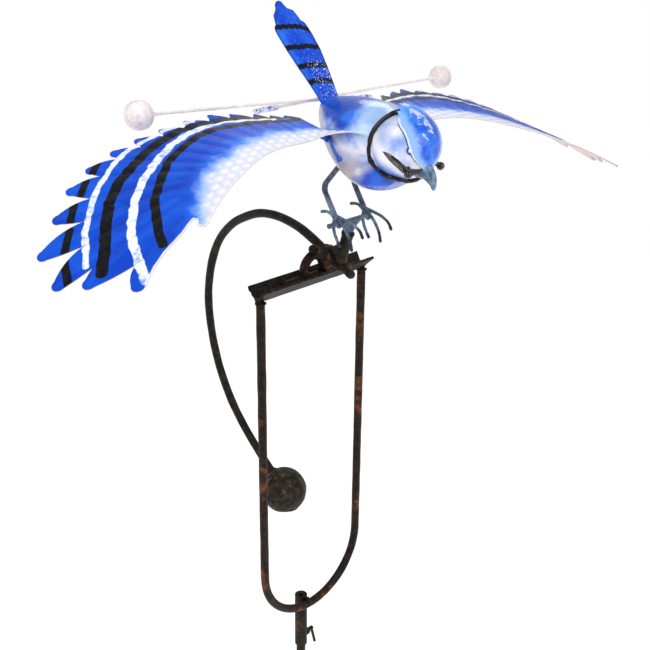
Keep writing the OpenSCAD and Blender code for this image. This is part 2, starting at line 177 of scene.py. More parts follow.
# ---------------------------------------------------------------- materials
class Paint:
    """One procedural material. Its patterns are in object space, in metres."""

    def __init__(self, name, rough=0.5, metal=0.0, coat=0.0, shine=0.2):
        self.mat = bpy.data.materials.new(name)
        self.mat.use_nodes = True
        self.tree = self.mat.node_tree
        self.shader = self.tree.nodes["Principled BSDF"]
        for key, value in {"Metallic": metal, "Roughness": rough, "Coat Weight": coat,
                           "Coat Roughness": 0.12, "Specular IOR Level": shine}.items():
            self.shader.inputs[key].default_value = value
        self.place = self.tree.nodes.new("ShaderNodeTexCoord").outputs["Object"]

    def node(self, kind, sockets, **settings):
        n = self.tree.nodes.new(kind)
        for key, value in settings.items():
            setattr(n, key, value)
        for key, value in sockets.items():
            if isinstance(value, bpy.types.NodeSocket):
                self.tree.links.new(value, n.inputs[key])
            else:
                n.inputs[key].default_value = value
        return n

    def math(self, op, a, b):
        return self.node("ShaderNodeMath", {0: a, 1: b}, operation=op).outputs[0]

    def noise(self, scale, detail=3.0, rough=0.6, warp=0.0):
        return self.node("ShaderNodeTexNoise", {
            "Vector": self.place, "Scale": scale, "Detail": detail, "Roughness": rough,
            "Distortion": warp,
        }).outputs["Fac"]

    def streaks(self, scale, stretch):
        """Noise drawn out along directions: stretch is a scale for each axis."""
        shape = self.node("ShaderNodeMapping", {"Vector": self.place, "Scale": stretch}).outputs[0]
        return self.node("ShaderNodeTexNoise", {
            "Vector": shape, "Scale": scale, "Detail": 3.0}).outputs["Fac"]

    def attr(self, name):
        return self.node("ShaderNodeAttribute", {}, attribute_name=name).outputs["Fac"]

    def within(self, distance, name):
        """A mask that is above zero where the attribute is below the distance."""
        return self.math("SUBTRACT", distance, self.attr(name))

    def beyond(self, distance, name):
        return self.math("SUBTRACT", self.attr(name), distance)

    def specks(self, pattern, level, mask):
        """A mask of the pattern's peaks, inside the attribute's area."""
        peaks = self.math("MULTIPLY", self.math("SUBTRACT", pattern, level), 60)
        return self.math("MINIMUM", peaks, self.attr(mask))

    def step(self, value, low, high):
        return self.node("ShaderNodeMapRange", {
            "Value": value, "From Min": low, "From Max": high, "To Min": 0.0, "To Max": 1.0,
        }, interpolation_type="SMOOTHSTEP").outputs[0]

    def mix(self, share, a, b):
        return self.node("ShaderNodeMix", {0: share, 6: a, 7: b}, data_type="RGBA").outputs[2]

    def tint(self, base, color, value, low, high, most=1.0):
        """Brings color in over base as the value goes from low to high."""
        share = self.step(value, low, high)
        return self.mix(self.math("MULTIPLY", share, most) if most < 1.0 else share, base, color)

    def layers(self, base, *rows):
        """Paints colours over base, each where its mask in millimetres is above zero.

        A row is a colour, a mask (a socket or an attribute's name), then as needed half the
        width of its soft edge, how far the edge wobbles, the wobble's scale and the strength.
        """
        for row in rows:
            base = self.layer(base, *row)
        return base

    def layer(self, base, color, mask, soft=0.3, wobble=0.0, scale=150.0, most=1.0):
        value = self.attr(mask) if isinstance(mask, str) else mask
        if wobble:
            swing = self.math("SUBTRACT", self.noise(scale, 2.0), 0.5)
            value = self.math("ADD", value, self.math("MULTIPLY", swing, 2 * wobble))
        return self.tint(base, color, value, -soft, soft, most)

    def done(self, color, rough=None, bumps=()):
        """Wires up the colour, the roughness and the bumps, each (height, depth in mm)."""
        self.tree.links.new(color, self.shader.inputs["Base Color"])
        if rough is not None:
            self.tree.links.new(rough, self.shader.inputs["Roughness"])
        normal = None
        for height, depth in bumps:
            sockets = {"Height": height, "Strength": 1.0, "Distance": depth * MM}
            if normal:
                sockets["Normal"] = normal
            normal = self.node("ShaderNodeBump", sockets).outputs[0]
        if normal:
            self.tree.links.new(normal, self.shader.inputs["Normal"])
        return self.mat


def rusty(name, dark, brown, rust, ochre_highlight, rust_at, ochre_highlight_at):
    """Old bar stock: near black mill scale, brown rub, patches of rust and fine pits, with ochre
    patches that are partly rust and partly painted highlight.
    """
    p = Paint(name, rough=0.6, metal=0.1)
    wide, fine, grit = p.noise(38, 4, 0.65), p.noise(150, 4, 0.7), p.noise(900, 2, 0.6)
    both = p.math("MULTIPLY", p.math("ADD", wide, fine), 0.5)
    color = p.tint(dark, brown, fine, 0.42, 0.62)
    color = p.tint(color, rust, wide, rust_at - 0.05, rust_at + 0.08)
    # ochre patches: partly rust tone, partly painted highlights on the bars
    color = p.tint(color, ochre_highlight, both, ochre_highlight_at - 0.06, ochre_highlight_at + 0.06)
    color = p.tint(color, dark, grit, 0.5, 0.7, 0.35)
    rough = p.math("ADD", p.math("MULTIPLY", fine, 0.35), 0.38)
    return p.done(color, rough, [(fine, 0.5), (grit, 0.18)])


BLACK_STEEL = rusty("black_steel", rgb(12, 9, 6), rgb(44, 33, 22), rgb(84, 52, 28),
                    rgb(116, 90, 46), 0.62, 0.64)
BROWN_STEEL = rusty("brown_steel", rgb(16, 11, 7), rgb(48, 32, 19), rgb(104, 56, 24),
                    rgb(140, 100, 46), 0.58, 0.64)
BALL_STEEL = rusty("ball_steel", rgb(24, 20, 13), rgb(60, 50, 36), rgb(88, 58, 34),
                   rgb(104, 92, 66), 0.6, 0.58)


def brushed_paint(name, dark, mid, light, rough=0.42, grain=170.0, bump=0.25):
    """Hand-brushed enamel: three close tones, brush marks and small runs."""
    p = Paint(name, rough=rough, coat=0.25)
    fine, wide = p.noise(grain, 3, 0.6, 0.5), p.noise(grain / 5, 2, 0.5)
    color = p.tint(p.tint(dark, mid, fine, 0.35, 0.65), light, wide, 0.5, 0.72, 0.8)
    sheen = p.math("ADD", p.math("MULTIPLY", fine, 0.25), rough - 0.12)
    return p.done(color, sheen, [(fine, bump), (wide, bump)])


SLATE = brushed_paint("slate_enamel", rgb(52, 66, 84), rgb(84, 102, 124), rgb(122, 144, 166))
ROYAL = brushed_paint("royal_enamel", rgb(10, 48, 150), rgb(20, 76, 196), rgb(74, 136, 226))
CHALK = brushed_paint("chalk_enamel", rgb(226, 214, 212), rgb(242, 234, 232),
                      rgb(250, 246, 245), 0.5, 420.0, 0.3)
JET = brushed_paint("jet_enamel", rgb(6, 6, 8), rgb(16, 16, 18), rgb(40, 36, 32), 0.24, 260.0,
                    0.35)


# ---------------------------------------------------------------- mesh helpers
def add_piece(name, shape, mat, replaces="", body="rocker", attrs=None, flat_angle=None):
    """A mesh in the yoke's frame, riding on a CAD body and replacing the CAD nodes named."""
    verts, faces = shape
    mesh = bpy.data.meshes.new(name)
    mesh.from_pydata([at(v) for v in verts], [], [tuple(f) for f in faces])
    mesh.polygons.foreach_set("use_smooth", [True] * len(mesh.polygons))
    for key, values in (attrs or {}).items():
        values = np.asarray(values, np.float32)
        mesh.attributes.new(key, "FLOAT", "POINT").data.foreach_set("value", values)
    if flat_angle is not None:
        mesh.set_sharp_from_angle(angle=math.radians(flat_angle))
    mesh.materials.append(mat)
    piece = new_object(name, mesh)
    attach(piece, body)
    if replaces:
        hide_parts(*replaces.split())


def join(parts):
    """Several (verts, faces) as one."""
    verts, faces = [], []
    for v, f in parts:
        faces += [tuple(i + len(verts) for i in face) for face in f]
        verts += list(v)
    return verts, faces


def turned(faces):
    """The same faces, facing the other way."""
    return [(f[0], *f[:0:-1]) for f in faces]


def tube(rows, sides):
    """The faces between rows + 1 rings of points."""
    return [(i * sides + k, i * sides + (k + 1) % sides,
             (i + 1) * sides + (k + 1) % sides, (i + 1) * sides + k)
            for i in range(rows) for k in range(sides)]


def slab(rows, cols):
    """The faces of a closed sheet: its front grid of points, its back grid, and the rim."""
    w, n = cols + 1, (rows + 1) * (cols + 1)
    faces = []
    for a in (i * w + k for i in range(rows) for k in range(cols)):
        faces += [(a, a + w, a + w + 1, a + 1), (n + a, n + a + 1, n + a + w + 1, n + a + w)]
    rim = list(range(w)) + [i * w + cols for i in range(1, rows + 1)]
    rim += [rows * w + k for k in range(cols - 1, -1, -1)] + [i * w for i in range(rows - 1, 0, -1)]
    return faces + [(a, b, n + b, n + a) for a, b in zip(rim, rim[1:] + rim[:1])]


def spline(points, step):
    """A smooth curve through the points, as evenly spaced points."""
    pts = [Vector(p) for p in points]
    pts = [2 * pts[0] - pts[1]] + pts + [2 * pts[-1] - pts[-2]]
    out = []
    for a, b, c, d in zip(pts, pts[1:], pts[2:], pts[3:]):
        n = max(1, int((c - b).length / step))
        for i in range(n):
            t = i / n
            out.append(0.5 * (2 * b + (c - a) * t + (2 * a - 5 * b + 4 * c - d) * t * t
                              + (3 * b - a - 3 * c + d) * t * t * t))
    return out + [pts[-2]]


def bend(a, b, c, n):
    """The first n points of a curve from a to c that leaves and arrives in line with b."""
    return [a.lerp(b, i / n).lerp(b.lerp(c, i / n), i / n) for i in range(n)]


def rounded(points, radius):
    """A polyline with its corners rounded off."""
    pts = [Vector(p) for p in points]
    out = [pts[0]]
    for a, b, c in zip(pts, pts[1:], pts[2:]):
        u, v = (a - b).normalized(), (c - b).normalized()
        cut = min(radius, 0.45 * (a - b).length, 0.45 * (c - b).length)
        out += bend(b + u * cut, b, b + v * cut, max(3, int(cut / 0.75))) + [b + v * cut]
    return out + [pts[-1]]


def finer(path, radii, step):
    """A path and its radii with points about a step apart."""
    pts, out, wide = [Vector(p) for p in path], [], []
    for a, b, ra, rb in zip(pts, pts[1:], radii, radii[1:]):
        n = max(1, int((b - a).length / step))
        out += [a.lerp(b, i / n) for i in range(n)]
        wide += [ra + (rb - ra) * i / n for i in range(n)]
    return out + [pts[-1]], wide + [radii[-1]]


def sweep(path, radius, sides=20, cap="round", lump=0.0, lump_scale=0.15, seed=0.0):
    """A tube along a path. radius is a number or one for each point; cap is round or flat."""
    pts = [Vector(p) for p in path]
    radii = list(radius) if hasattr(radius, "__len__") else [radius] * len(pts)
    ahead = [(b - a).normalized() for a, b in zip([pts[0]] + pts[:-1], pts[1:] + [pts[-1]])]
    # a cap is one or more rings: how far out each one is and how wide, as shares of the radius
    cap_rings = [(0.02, 0.88)]
    if cap == "round":
        cap_rings = [(math.cos(a), math.sin(a)) for a in (0.08, 0.5, 1.0)]
    rings = [(pts[0] - ahead[0] * radii[0] * out, radii[0] * wide, ahead[0])
             for out, wide in cap_rings]
    rings += zip(pts, radii, ahead)
    rings += [(pts[-1] + ahead[-1] * radii[-1] * out, radii[-1] * wide, ahead[-1])
              for out, wide in reversed(cap_rings)]
    side = ahead[0].orthogonal().normalized()
    verts = []
    for centre, r, d in rings:
        side = (side - d * side.dot(d)).normalized()
        other = d.cross(side)
        for k in range(sides):
            a = 2 * math.pi * k / sides
            out = side * math.cos(a) + other * math.sin(a)
            if lump:
                spot = (centre + out * r) * lump_scale + Vector((seed, 0, 0))
                verts.append(centre + out * (r + lump * noise.noise(spot)
                                             * min(1.0, r / max(radii))))
            else:
                verts.append(centre + out * r)
    n, m = len(verts), len(verts) - sides
    verts += [rings[0][0], rings[-1][0]]
    faces = tube(len(rings) - 1, sides) + [(n, (k + 1) % sides, k) for k in range(sides)]
    return verts, faces + [(n + 1, m + k, m + (k + 1) % sides) for k in range(sides)]


def ball(centre, radii, rings, sides, shape):
    """A closed ball. shape moves a point, given its direction from the centre."""
    verts = []
    for i in range(rings + 1):
        a = math.pi * i / rings
        for k in range(sides):
            b = 2 * math.pi * k / sides
            d = Vector((math.sin(a) * math.cos(b), math.sin(a) * math.sin(b), math.cos(a)))
            verts.append(shape(Vector(centre) + d * Vector(radii), d))
    return verts, turned(tube(rings, sides))


def lumpy(height, scale):
    """A shape for ball: lumps of a height, at the scale of the noise."""
    return lambda p, d: p + d * height * noise.noise(p * scale)


def weld_bead(path, radius, seed=0.0):
    """A lumpy run of weld metal."""
    pts = spline(path, 0.8)
    radii = [radius * (1 + 0.22 * math.sin(1.9 * i) + 0.3 * noise.noise(Vector((i * 0.4, seed, 0))))
             for i in range(len(pts))]
    return sweep(pts, radii, 12, "round", radius * 0.5, 0.6, seed)


def around(centre, axis, radius, turn=(0, 360), step=15):
    """Points on a circle about an axis."""
    axis = Vector(axis).normalized()
    u = axis.orthogonal().normalized()
    v = axis.cross(u)
    angles = [math.radians(turn[0] + i * step) for i in range(int((turn[1] - turn[0]) / step) + 1)]
    return [Vector(centre) + (u * math.cos(a) + v * math.sin(a)) * radius for a in angles]


# ---------------------------------------------------------------- stake and yoke
BAR_R, POLE_R, BURIED_R = 4.75, 5.5, 5.0  # radii of the bars
YOKE_R, YOKE_LOW, YOKE_TOP = 75.0, -337.0, -0.5
ANGLE_LEG, ANGLE_THICK, ANGLE_SOFT, ANGLE_HALF = 20.0, 3.0, 0.45, 80.0


def make_stake():
    lo, hi = (yoke_mm(corner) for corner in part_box("pole"))
    x, y = (lo.x + hi.x) / 2, (lo.y + hi.y) / 2
    ground = yoke_mm((0, 0, 0)).z
    heights = [(lo.z, 0.9), (lo.z + 10, 2.2), (lo.z + 30, BURIED_R), (ground - 1, BURIED_R),
               (ground, POLE_R), (hi.z, POLE_R)]
    bar = finer([(x, y, z) for z, _ in heights], [r for _, r in heights], 12)
    add_piece("pole_bar", sweep(*bar, 24, "flat", 0.25, 0.07), BLACK_STEEL, "pole",
              "stake")


def make_yoke():
    leg = [YOKE_TOP - 6 * i for i in range(56)]
    path = [(0, -YOKE_R, z) for z in leg]
    path += [(0, -YOKE_R * math.cos(a), YOKE_LOW - YOKE_R * math.sin(a))
             for a in map(math.radians, range(0, 181, 4))]
    path += [(0, YOKE_R, z) for z in reversed(leg)]
    add_piece("yoke_rod", sweep(path, BAR_R, 24, "flat", 0.35, 0.05), BROWN_STEEL,
              "yoke_bar", "yoke")
    # the legs are welded to the crossbar, and the clamp's nut to the socket
    beads = [weld_bead(around((0, s * YOKE_R, -1.0), (0, 0, 1), 4.6), 1.3, 3.0 * s)
             for s in (-1, 1)]
    beads += [weld_bead(around((-6.2, -6, -406.5), (0, 1, 0), 6.6, turn), 1.7, seed)
              for turn, seed in (((20, 170), 4), ((-160, -20), 6))]
    add_piece("yoke_weld_beads", join(beads), BLACK_STEEL, body="yoke")


def make_crossbar():
    """Angle iron with soft edges. Its far end is torn into a fishtail."""
    leg, t, e, fillet = ANGLE_LEG, ANGLE_THICK, ANGLE_SOFT, ANGLE_THICK + 1.2
    half = [(e, 0), (leg - e, 0), (leg, e), (leg, t - e), (leg - e, t), (fillet, t)]
    outline = half + [(v, u) for u, v in reversed(half)]
    section = []
    for (a, b), (c, d) in zip(outline, outline[1:] + outline[:1]):
        n = max(1, int(math.hypot(c - a, d - b) / 3))
        section += [(a + (c - a) * i / n, b + (d - b) * i / n) for i in range(n)]
    rows, n = 90, len(section)
    verts = []
    for i in range(rows + 1):
        y = -ANGLE_HALF + 2 * ANGLE_HALF * i / rows
        far = max(0.0, (y - 62) / 18)
        near = max(0.0, (-y - 70) / 10)
        for u, v in section:
            notch = 6.3 * abs(max(u, v) / leg - 0.45) - 3.2
            shift = far * notch + near * 0.8 * math.sin(u + v)
            p = Vector(((u - v) * math.sqrt(0.5), y + shift, (u + v) * math.sqrt(0.5)))
            wave = noise.noise(p * 0.06) * 0.35 + noise.noise(p * 0.4) * 0.12
            verts.append(p + Vector((0, 0, wave)))
    ends = [tuple(range(n)), tuple(reversed(range(rows * n, rows * n + n)))]
    add_piece("crossbar_angle", (verts, turned(tube(rows, n)) + ends), BLACK_STEEL,
              "crossbar", "yoke", flat_angle=35)


# ---------------------------------------------------------------- rocker's bars
ARM_LINE = [(22, 39.5), (8, 46.5), (-6, 53), (-21, 58.5), (-41, 62.5), (-63, 63.5), (-86, 60),
            (-108, 51), (-131, 37.5), (-154, 14), (-170, -19), (-178, -60), (-175, -104),
            (-163, -147), (-144, -184), (-120, -214), (-90, -242), (-66, -261)]
BALL_C, BALL_R = Vector((-47.8, 0, -274.7)), 27.2
BALL_SEAM, SEAM_OFF = Vector((0.55, 0.25, 0.80)).normalized(), 0.22
PIN_Z, PIN_R, ARCH_R, STUB_END = 10.3, 4.25, 4.9, Vector((54, 0, 25.5))


def counterweight(p, d):
    """The ball's shape: a weld seam runs round it, and the casting is pitted."""
    seam = abs(d.dot(BALL_SEAM) + SEAM_OFF) * BALL_R
    rise = 0.9 * math.exp(-(seam / 1.1) ** 2) - 0.5 * math.exp(-((seam - 2.6) / 1.2) ** 2)
    rise += 0.5 * noise.noise(p * 0.09) + 0.3 * noise.noise(p * 0.35)
    return p + d * (rise - 0.3)


def make_rocker_bars():
    path = spline([(x, 0, z) for x, z in ARM_LINE], 3.0)
    add_piece("arm_bar", sweep(path, BAR_R, 24, "flat", 0.35, 0.05), BLACK_STEEL,
              "counterweight_arm")
    lug = path[0]
    disc = [lug + Vector((0.5, y, 2)) for y in (-7.6, -7, -1, 3.6)]
    add_piece("arm_lug", join([
        sweep(disc, [7.2, 7.8, 8.0, 7.6], 32, "flat", 0.3),
        weld_bead(around(lug + Vector((-7, 0, 3.5)), (0.9, 0, -0.4), 5.4), 1.6, 2),
    ]), BLACK_STEEL)

    add_piece("ball_casting", ball(BALL_C, (BALL_R,) * 3, 110, 160, counterweight), BALL_STEEL,
              "counterweight_ball")
    out = (path[-1] - BALL_C).normalized()
    add_piece("ball_weld", weld_bead(around(BALL_C + out * (BALL_R - 1.2), out, 5.6), 1.8, 8),
              BLACK_STEEL)

    pin = [(0, -42 + 94 * i / 40, PIN_Z) for i in range(41)]
    add_piece("pin_bar", sweep(pin, PIN_R, 28, "flat", 0.3, 0.09), BROWN_STEEL,
              "pivot_pin")

    foot = PIN_Z + 1
    arch = rounded([(0, -14, foot), (0, -13.5, 22), (0, -9, 30), (0, 0, 34), (0, 9, 30),
                    (0, 13.5, 22), (0, 14, foot)], 7)
    parts = [sweep(arch, ARCH_R, 20, "round", 0.6, 0.15, 4),
             ball((1, 0, 39), (6.5, 5.4, 5.5), 20, 28, lumpy(0.7, 0.3))]
    parts += [weld_bead(around((0, s * 14, foot), (0, 1, 0), 5.4, (-60, 240)), 1.5, 6 + s)
              for s in (-1, 1)]
    add_piece("saddle_rod", join(parts), BROWN_STEEL, "saddle_arch")

    stub = [lug.lerp(STUB_END, i / 12) for i in range(1, 13)]
    add_piece("stub_bar", sweep(stub, [PIN_R] * 10 + [4.4, 4.6], 24, "round", 0.3, 0.1),
              BLACK_STEEL, "stub_rod")


# ---------------------------------------------------------------- neck, legs and feet
NECK_FOOT, NECK_LEAN = Vector((39, 0, 35)), math.radians(17)
NECK_PROFILE = [(-7, 5.7), (-4, 6.0), (2, 6.0), (8, 5.9), (14, 6.0), (20, 6.05), (26, 5.9),
                (31, 6.0), (34, 6.7), (35.6, 6.9), (36.6, 6.2)]  # height, radius
PERCH_Z, PERCH_R, BRACKET_LOW, STEM_R = 84.0, 2.5, 71.5, 4.0
LEG_Y, LEG_R, TOE_R = 21, 2.55, 1.75
KNEE, HEEL = Vector((35, 0, 117)), Vector((55, 0, 85))
# a toe's points, with y measured outward from the right leg
TOES = {
    "front_in": [(51, 0, 91), (58, -3, 88.5), (67, -8, 84), (74, -11, 78), (77.5, -11.5, 72)],
    "front_mid": [(51, 0, 91), (59, 0.5, 86), (67, 0.5, 78), (72, 0, 69), (74, 0, 61)],
    "front_out": [(52, 1, 90), (54, 5, 85), (58, 8.5, 79), (63, 10, 72), (67, 10, 66)],
    "back": [(53, 0, 84), (49, 0, 89), (44.5, 0, 92), (39, 0, 92.8), (33, 0, 91.5)],
}


def bracket():
    """A folded plate that flares up to the perch rod."""
    rows, cols = 12, 14
    verts = []
    for x, bow in ((52.6, 2.508), (55.4, 2.42)):
        for i in range(rows + 1):
            f = i / rows
            z, half = BRACKET_LOW + (PERCH_Z - BRACKET_LOW) * f, 4.5 + 13.5 * f ** 1.3
            for k in range(cols + 1):
                s = -1 + 2 * k / cols
                verts.append((x + bow * (1 - s * s) - (PERCH_Z - z) * 0.22, s * half,
                              z - 0.8 * (1 - s * s)))
    return verts, slab(rows, cols)


def make_neck():
    _, up = slope(NECK_LEAN)
    pipe = [NECK_FOOT + up * h for h, _ in NECK_PROFILE]
    parts = [sweep(pipe, [r for _, r in NECK_PROFILE], 32, "flat", 0.5, 0.2, 9),
             weld_bead(around(NECK_FOOT + up * -2, up, 6.2), 2.0, 4)]
    parts += [weld_bead([(24, s * 5, 43), (30, s * 6, 37), (37, s * 6, 33), (44, s * 5, 30)], 2.6,
                        8 + s) for s in (-1, 1)]
    add_piece("neck_pipe", join(parts), BLACK_STEEL, "neck_tube")

    stem = [NECK_FOOT + up * h for h in (12, 20, 28, 34, 38, 42)]
    add_piece("perch_bracket", join([sweep(stem, STEM_R, 24, "round", 0.15), bracket()]), SLATE,
              "foot_bracket")
    perch = [(56, -35 + i, PERCH_Z) for i in range(60)]
    add_piece("perch_bar", sweep(perch, PERCH_R, 20, "flat", 0.2, 0.3), SLATE,
              "perch_rod")


def toe_paint():
    p = Paint("toe_enamel", rough=0.4, coat=0.25)
    fine, wide = p.noise(260, 3, 0.6), p.noise(60, 2)
    color = p.tint(rgb(58, 74, 94), rgb(92, 112, 136), fine, 0.35, 0.65)
    color = p.tint(color, rgb(128, 150, 172), wide, 0.52, 0.7)
    color = p.tint(color, rgb(34, 38, 50), p.attr("tip"), 0.78, 0.95)
    return p.done(color, None, [(fine, 0.3)])


def make_legs():
    mat = toe_paint()
    for s, side in SIDES:
        y = s * LEG_Y
        across = Vector((0, y, 0))
        path = rounded([(56.5, y, 82), (34, y, 117), (57, y, 143)], 8)
        # a round bar that bulges a little at its knee and foot
        radii = [LEG_R + 0.45 * math.exp(-((p - KNEE - across).length / 7) ** 2)
                 + 0.5 * math.exp(-((p - HEEL - across).length / 5) ** 2) for p in path]
        add_piece(side + "_leg_bar", sweep(*finer(path, radii, 2), 20, "round", 0.3, 0.3, s),
                  SLATE, side + "_leg")
        parts = []
        for key, points in TOES.items():
            line = spline([(x, y - dy, z) for x, dy, z in points], 1.2)
            n = len(line) - 1
            radii = [TOE_R - 0.35 * (i / n) + 0.25 * math.exp(-((i - n) / 3.0) ** 2)
                     for i in range(n + 1)]
            parts.append(sweep(line, radii, 16, "round", 0.25, 0.5, len(key)))
        parts.append(ball((53, y, 88.5), (3.4, 3.0, 3.2), 18, 24, lumpy(0.5, 0.5)))
        toes = join(parts)
        tip = [min(1.0, (Vector((54, y, 86)) - v).length / 26) for v in toes[0]]
        add_piece(side + "_toe_wires", toes, mat, side + "_toes",
                  attrs={"tip": tip})


# ---------------------------------------------------------------- body
# an egg: its middle, half its length, its greatest half width and half height
BODY_C, BODY_HALF, BODY_WIDE, BODY_TALL = Vector((71, 0, 170)), 62.0, 46.0, 35.9
BODY_ALONG, BODY_UP = slope(math.radians(22.2))
LIP_POINT, LIP_NORMAL = Vector((113, 0, 130)), Vector((0.651, 0, -0.759))
HEAD_C, HEAD_R = Vector((116.5, 0, 168.5)), Vector((33.5, 33.5, 32.5))
# the junction of body and head: x and |y| for heights from the top to the chin
COLLAR = [(121, 0, 201), (119.5, 8, 200.4), (115, 15, 198), (111, 21, 194), (107, 26.5, 187.5),
          (104.5, 29.5, 180), (103.5, 31.5, 172), (103.5, 31, 164), (105, 29.5, 157.5),
          (110, 27.5, 151), (116.5, 24, 146), (124, 19, 143), (129, 12, 140.5), (131, 0, 139.5)]
COLLAR_R = 2.35
CHIN_Z, SHOULDER = 134, 34  # where the body starts to draw in, and how far behind the collar


def on_head(p, lift):
    """The place on the head's surface that p lies over, raised by lift."""
    d = Vector(p) - HEAD_C
    k = math.sqrt(sum((d[i] / HEAD_R[i]) ** 2 for i in range(3)))
    q = HEAD_C + d / k
    normal = Vector([(q[i] - HEAD_C[i]) / HEAD_R[i] ** 2 for i in range(3)]).normalized()
    return q + normal * lift


def body_point(t, a):
    """A point of the egg: t runs along it from -1 to 1, a round it."""
    s = math.sqrt(max(0.0, 1 - t * t)) * (1 + 0.44 * t)
    p = (BODY_C + BODY_ALONG * BODY_HALF * t + Vector((0, BODY_WIDE * s * math.cos(a), 0))
         + BODY_UP * BODY_TALL * s * math.sin(a))
    over = (p - LIP_POINT).dot(LIP_NORMAL)
    return p - LIP_NORMAL * over if over > 0 else p


def shoulder(p):
    """Draws the body in to the collar, and inside the head beyond it."""
    low_first = COLLAR[::-1]
    gap = float(np.interp(p.z, [c[2] for c in low_first], [c[0] for c in low_first])) - p.x
    if gap > SHOULDER or p.z < CHIN_Z:
        return p
    if gap < 2:
        return on_head(p, -1.5)
    # the cheeks of the body fall away faster than its back
    power = float(np.interp(p.z, [148, 176], [0.45, 1.7]))
    share = (1 - (gap - 2) / (SHOULDER - 2)) ** power * min(1.0, (p.z - CHIN_Z) / 8)
    return p.lerp(on_head(p, -0.8), share)


def make_body():
    rows, sides = 120, 180
    verts, masks = [], {"royal": [], "chest": [], "belly_shade": [], "band": []}
    for i in range(rows + 1):
        t = math.sin(math.radians(-90 + 180 * i / rows))
        for k in range(sides):
            a = 2 * math.pi * k / sides
            p = shoulder(body_point(t, a))
            d = (p - BODY_C).normalized()
            verts.append(p + d * (0.35 * noise.noise(p * 0.05) + 0.12 * noise.noise(p * 0.3)))
            # phi is the height round the side: 90 degrees at the back, -90 at the belly
            phi = math.degrees(math.atan2(math.sin(a), abs(math.cos(a))))
            royal_end, chest_start = 0.12 - 0.0038 * (phi - 33), 0.56 + 0.0042 * (phi + 31)
            masks["royal"].append(min((royal_end - t) * BODY_HALF, (phi - 14) * 0.65))
            masks["chest"].append(min((t - chest_start) * BODY_HALF, (14 - phi) * 0.65))
            # painted shade: the underside of the belly darkens to grey-brown
            masks["belly_shade"].append((-10 - 22 * t - phi) * 0.65)
            masks["band"].append(min((phi - 22) * 0.6, (t + 0.05) * BODY_HALF))
    p = Paint("body_enamel", rough=0.3, coat=0.5)
    blot, fine, wide = p.noise(48, 3, 0.5, 0.15), p.noise(260, 3), p.noise(26, 2)
    brush = p.streaks(40, (1.0, 0.28, 2.6))
    color = p.tint(rgb(218, 218, 234), rgb(112, 156, 226), blot, 0.42, 0.7)
    color = p.tint(color, rgb(82, 132, 218), wide, 0.52, 0.7, 0.55)
    color = p.tint(color, rgb(228, 230, 244), brush, 0.5, 0.66, 0.4)
    deep = p.tint(rgb(14, 58, 168), rgb(28, 92, 212), p.noise(36, 2), 0.4, 0.65)
    top = p.tint(rgb(16, 70, 182), rgb(40, 116, 232), p.streaks(34, (1.0, 0.3, 2.0)), 0.4, 0.66)
    # the grey-brown layer under the belly is painted shade
    color = p.layers(color, (rgb(150, 188, 238), "band", 9, 4, 60, 0.85),
                     (rgb(132, 118, 118), "belly_shade", 16, 7, 60, 0.8),
                     (deep, "chest", 7, 8, 70), (top, "royal", 7, 9, 80))
    mat = p.done(color, None, [(fine, 0.22), (blot, 0.6)])
    add_piece("body_shell", (verts, tube(rows, sides)), mat,
              "body_shell_right body_shell_left", attrs=masks)


# ---------------------------------------------------------------- head
def make_head():
    def shape(p, d):
        return p + d * (0.3 * noise.noise(p * 0.05) + 0.1 * noise.noise(p * 0.3) - 0.2)

    head = ball(HEAD_C, HEAD_R, 110, 160, shape)
    masks = {"neck": [120 - v.x for v in head[0]],
             "patch": [9 - (Vector((v.x, abs(v.y), v.z)) - Vector((135, 28, 178))).length
                       for v in head[0]],
             "low": [min(152 - v.z, 134 - v.x) for v in head[0]],
             "white": [5 - abs((v.z - 158) + 0.9 * (v.x - 128)) * 0.6 for v in head[0]]}
    p = Paint("head_enamel", rough=0.3, coat=0.5)
    soft, fine = p.noise(60, 3, 0.55, 0.4), p.noise(260, 3)
    color = p.tint(rgb(226, 226, 240), rgb(176, 194, 232), soft, 0.42, 0.68)
    color = p.layers(color, (rgb(128, 160, 218), "neck", 12, 8, 60, 0.75),
                     (rgb(92, 140, 226), "patch", 6, 6, 80, 0.85),
                     (rgb(52, 104, 202), "low", 8, 8, 60, 0.95),
                     (rgb(244, 240, 246), "white", 4, 3, 90, 0.8))
    mat = p.done(color, None, [(fine, 0.2), (soft, 0.5)])
    add_piece("head_ball", head, mat, "head_shell", attrs=masks)


def make_collar():
    loop = [(x, -y, z) for x, y, z in COLLAR] + COLLAR[-2::-1]
    pts = spline([on_head(p, 1.1) for p in loop], 1.5)
    pts.append(pts[0])
    # a knot of weld sits on its right side
    knot = Vector((105, -31, 156))
    radii = [COLLAR_R + 0.35 * noise.noise(Vector((i * 0.09, 3, 0)))
             + math.exp(-((p - knot).length / 3.0) ** 2) for i, p in enumerate(pts)]
    add_piece("collar_tube", sweep(pts, radii, 18, "round", 0.9, 0.22, 5), JET,
              "collar_ring")


# the crest: its half width at each angle from the brow up and back over the head
CREST_WIDTH = [(-30, 5), (-24, 10), (-16, 15.5), (-8, 19), (5, 21.5), (20, 22), (40, 22),
               (56, 21.5), (70, 20)]
CREST_START, CREST_END, CREST_THICK = -30, 97, 1.3
RIVET, RIVET_R = (144, 22, 171), 2.4


def crest_half(theta):
    return float(np.interp(theta, *zip(*CREST_WIDTH)))


def crest_place(theta, y, lift):
    """A place over the head, at an angle from the brow and a distance y from the middle."""
    r = math.sqrt(max(0.0, 1 - (y / HEAD_R.y) ** 2))
    a = math.radians(theta)
    p = HEAD_C + Vector((HEAD_R.x * r * math.cos(a), y, HEAD_R.z * r * math.sin(a)))
    return on_head(p, lift)


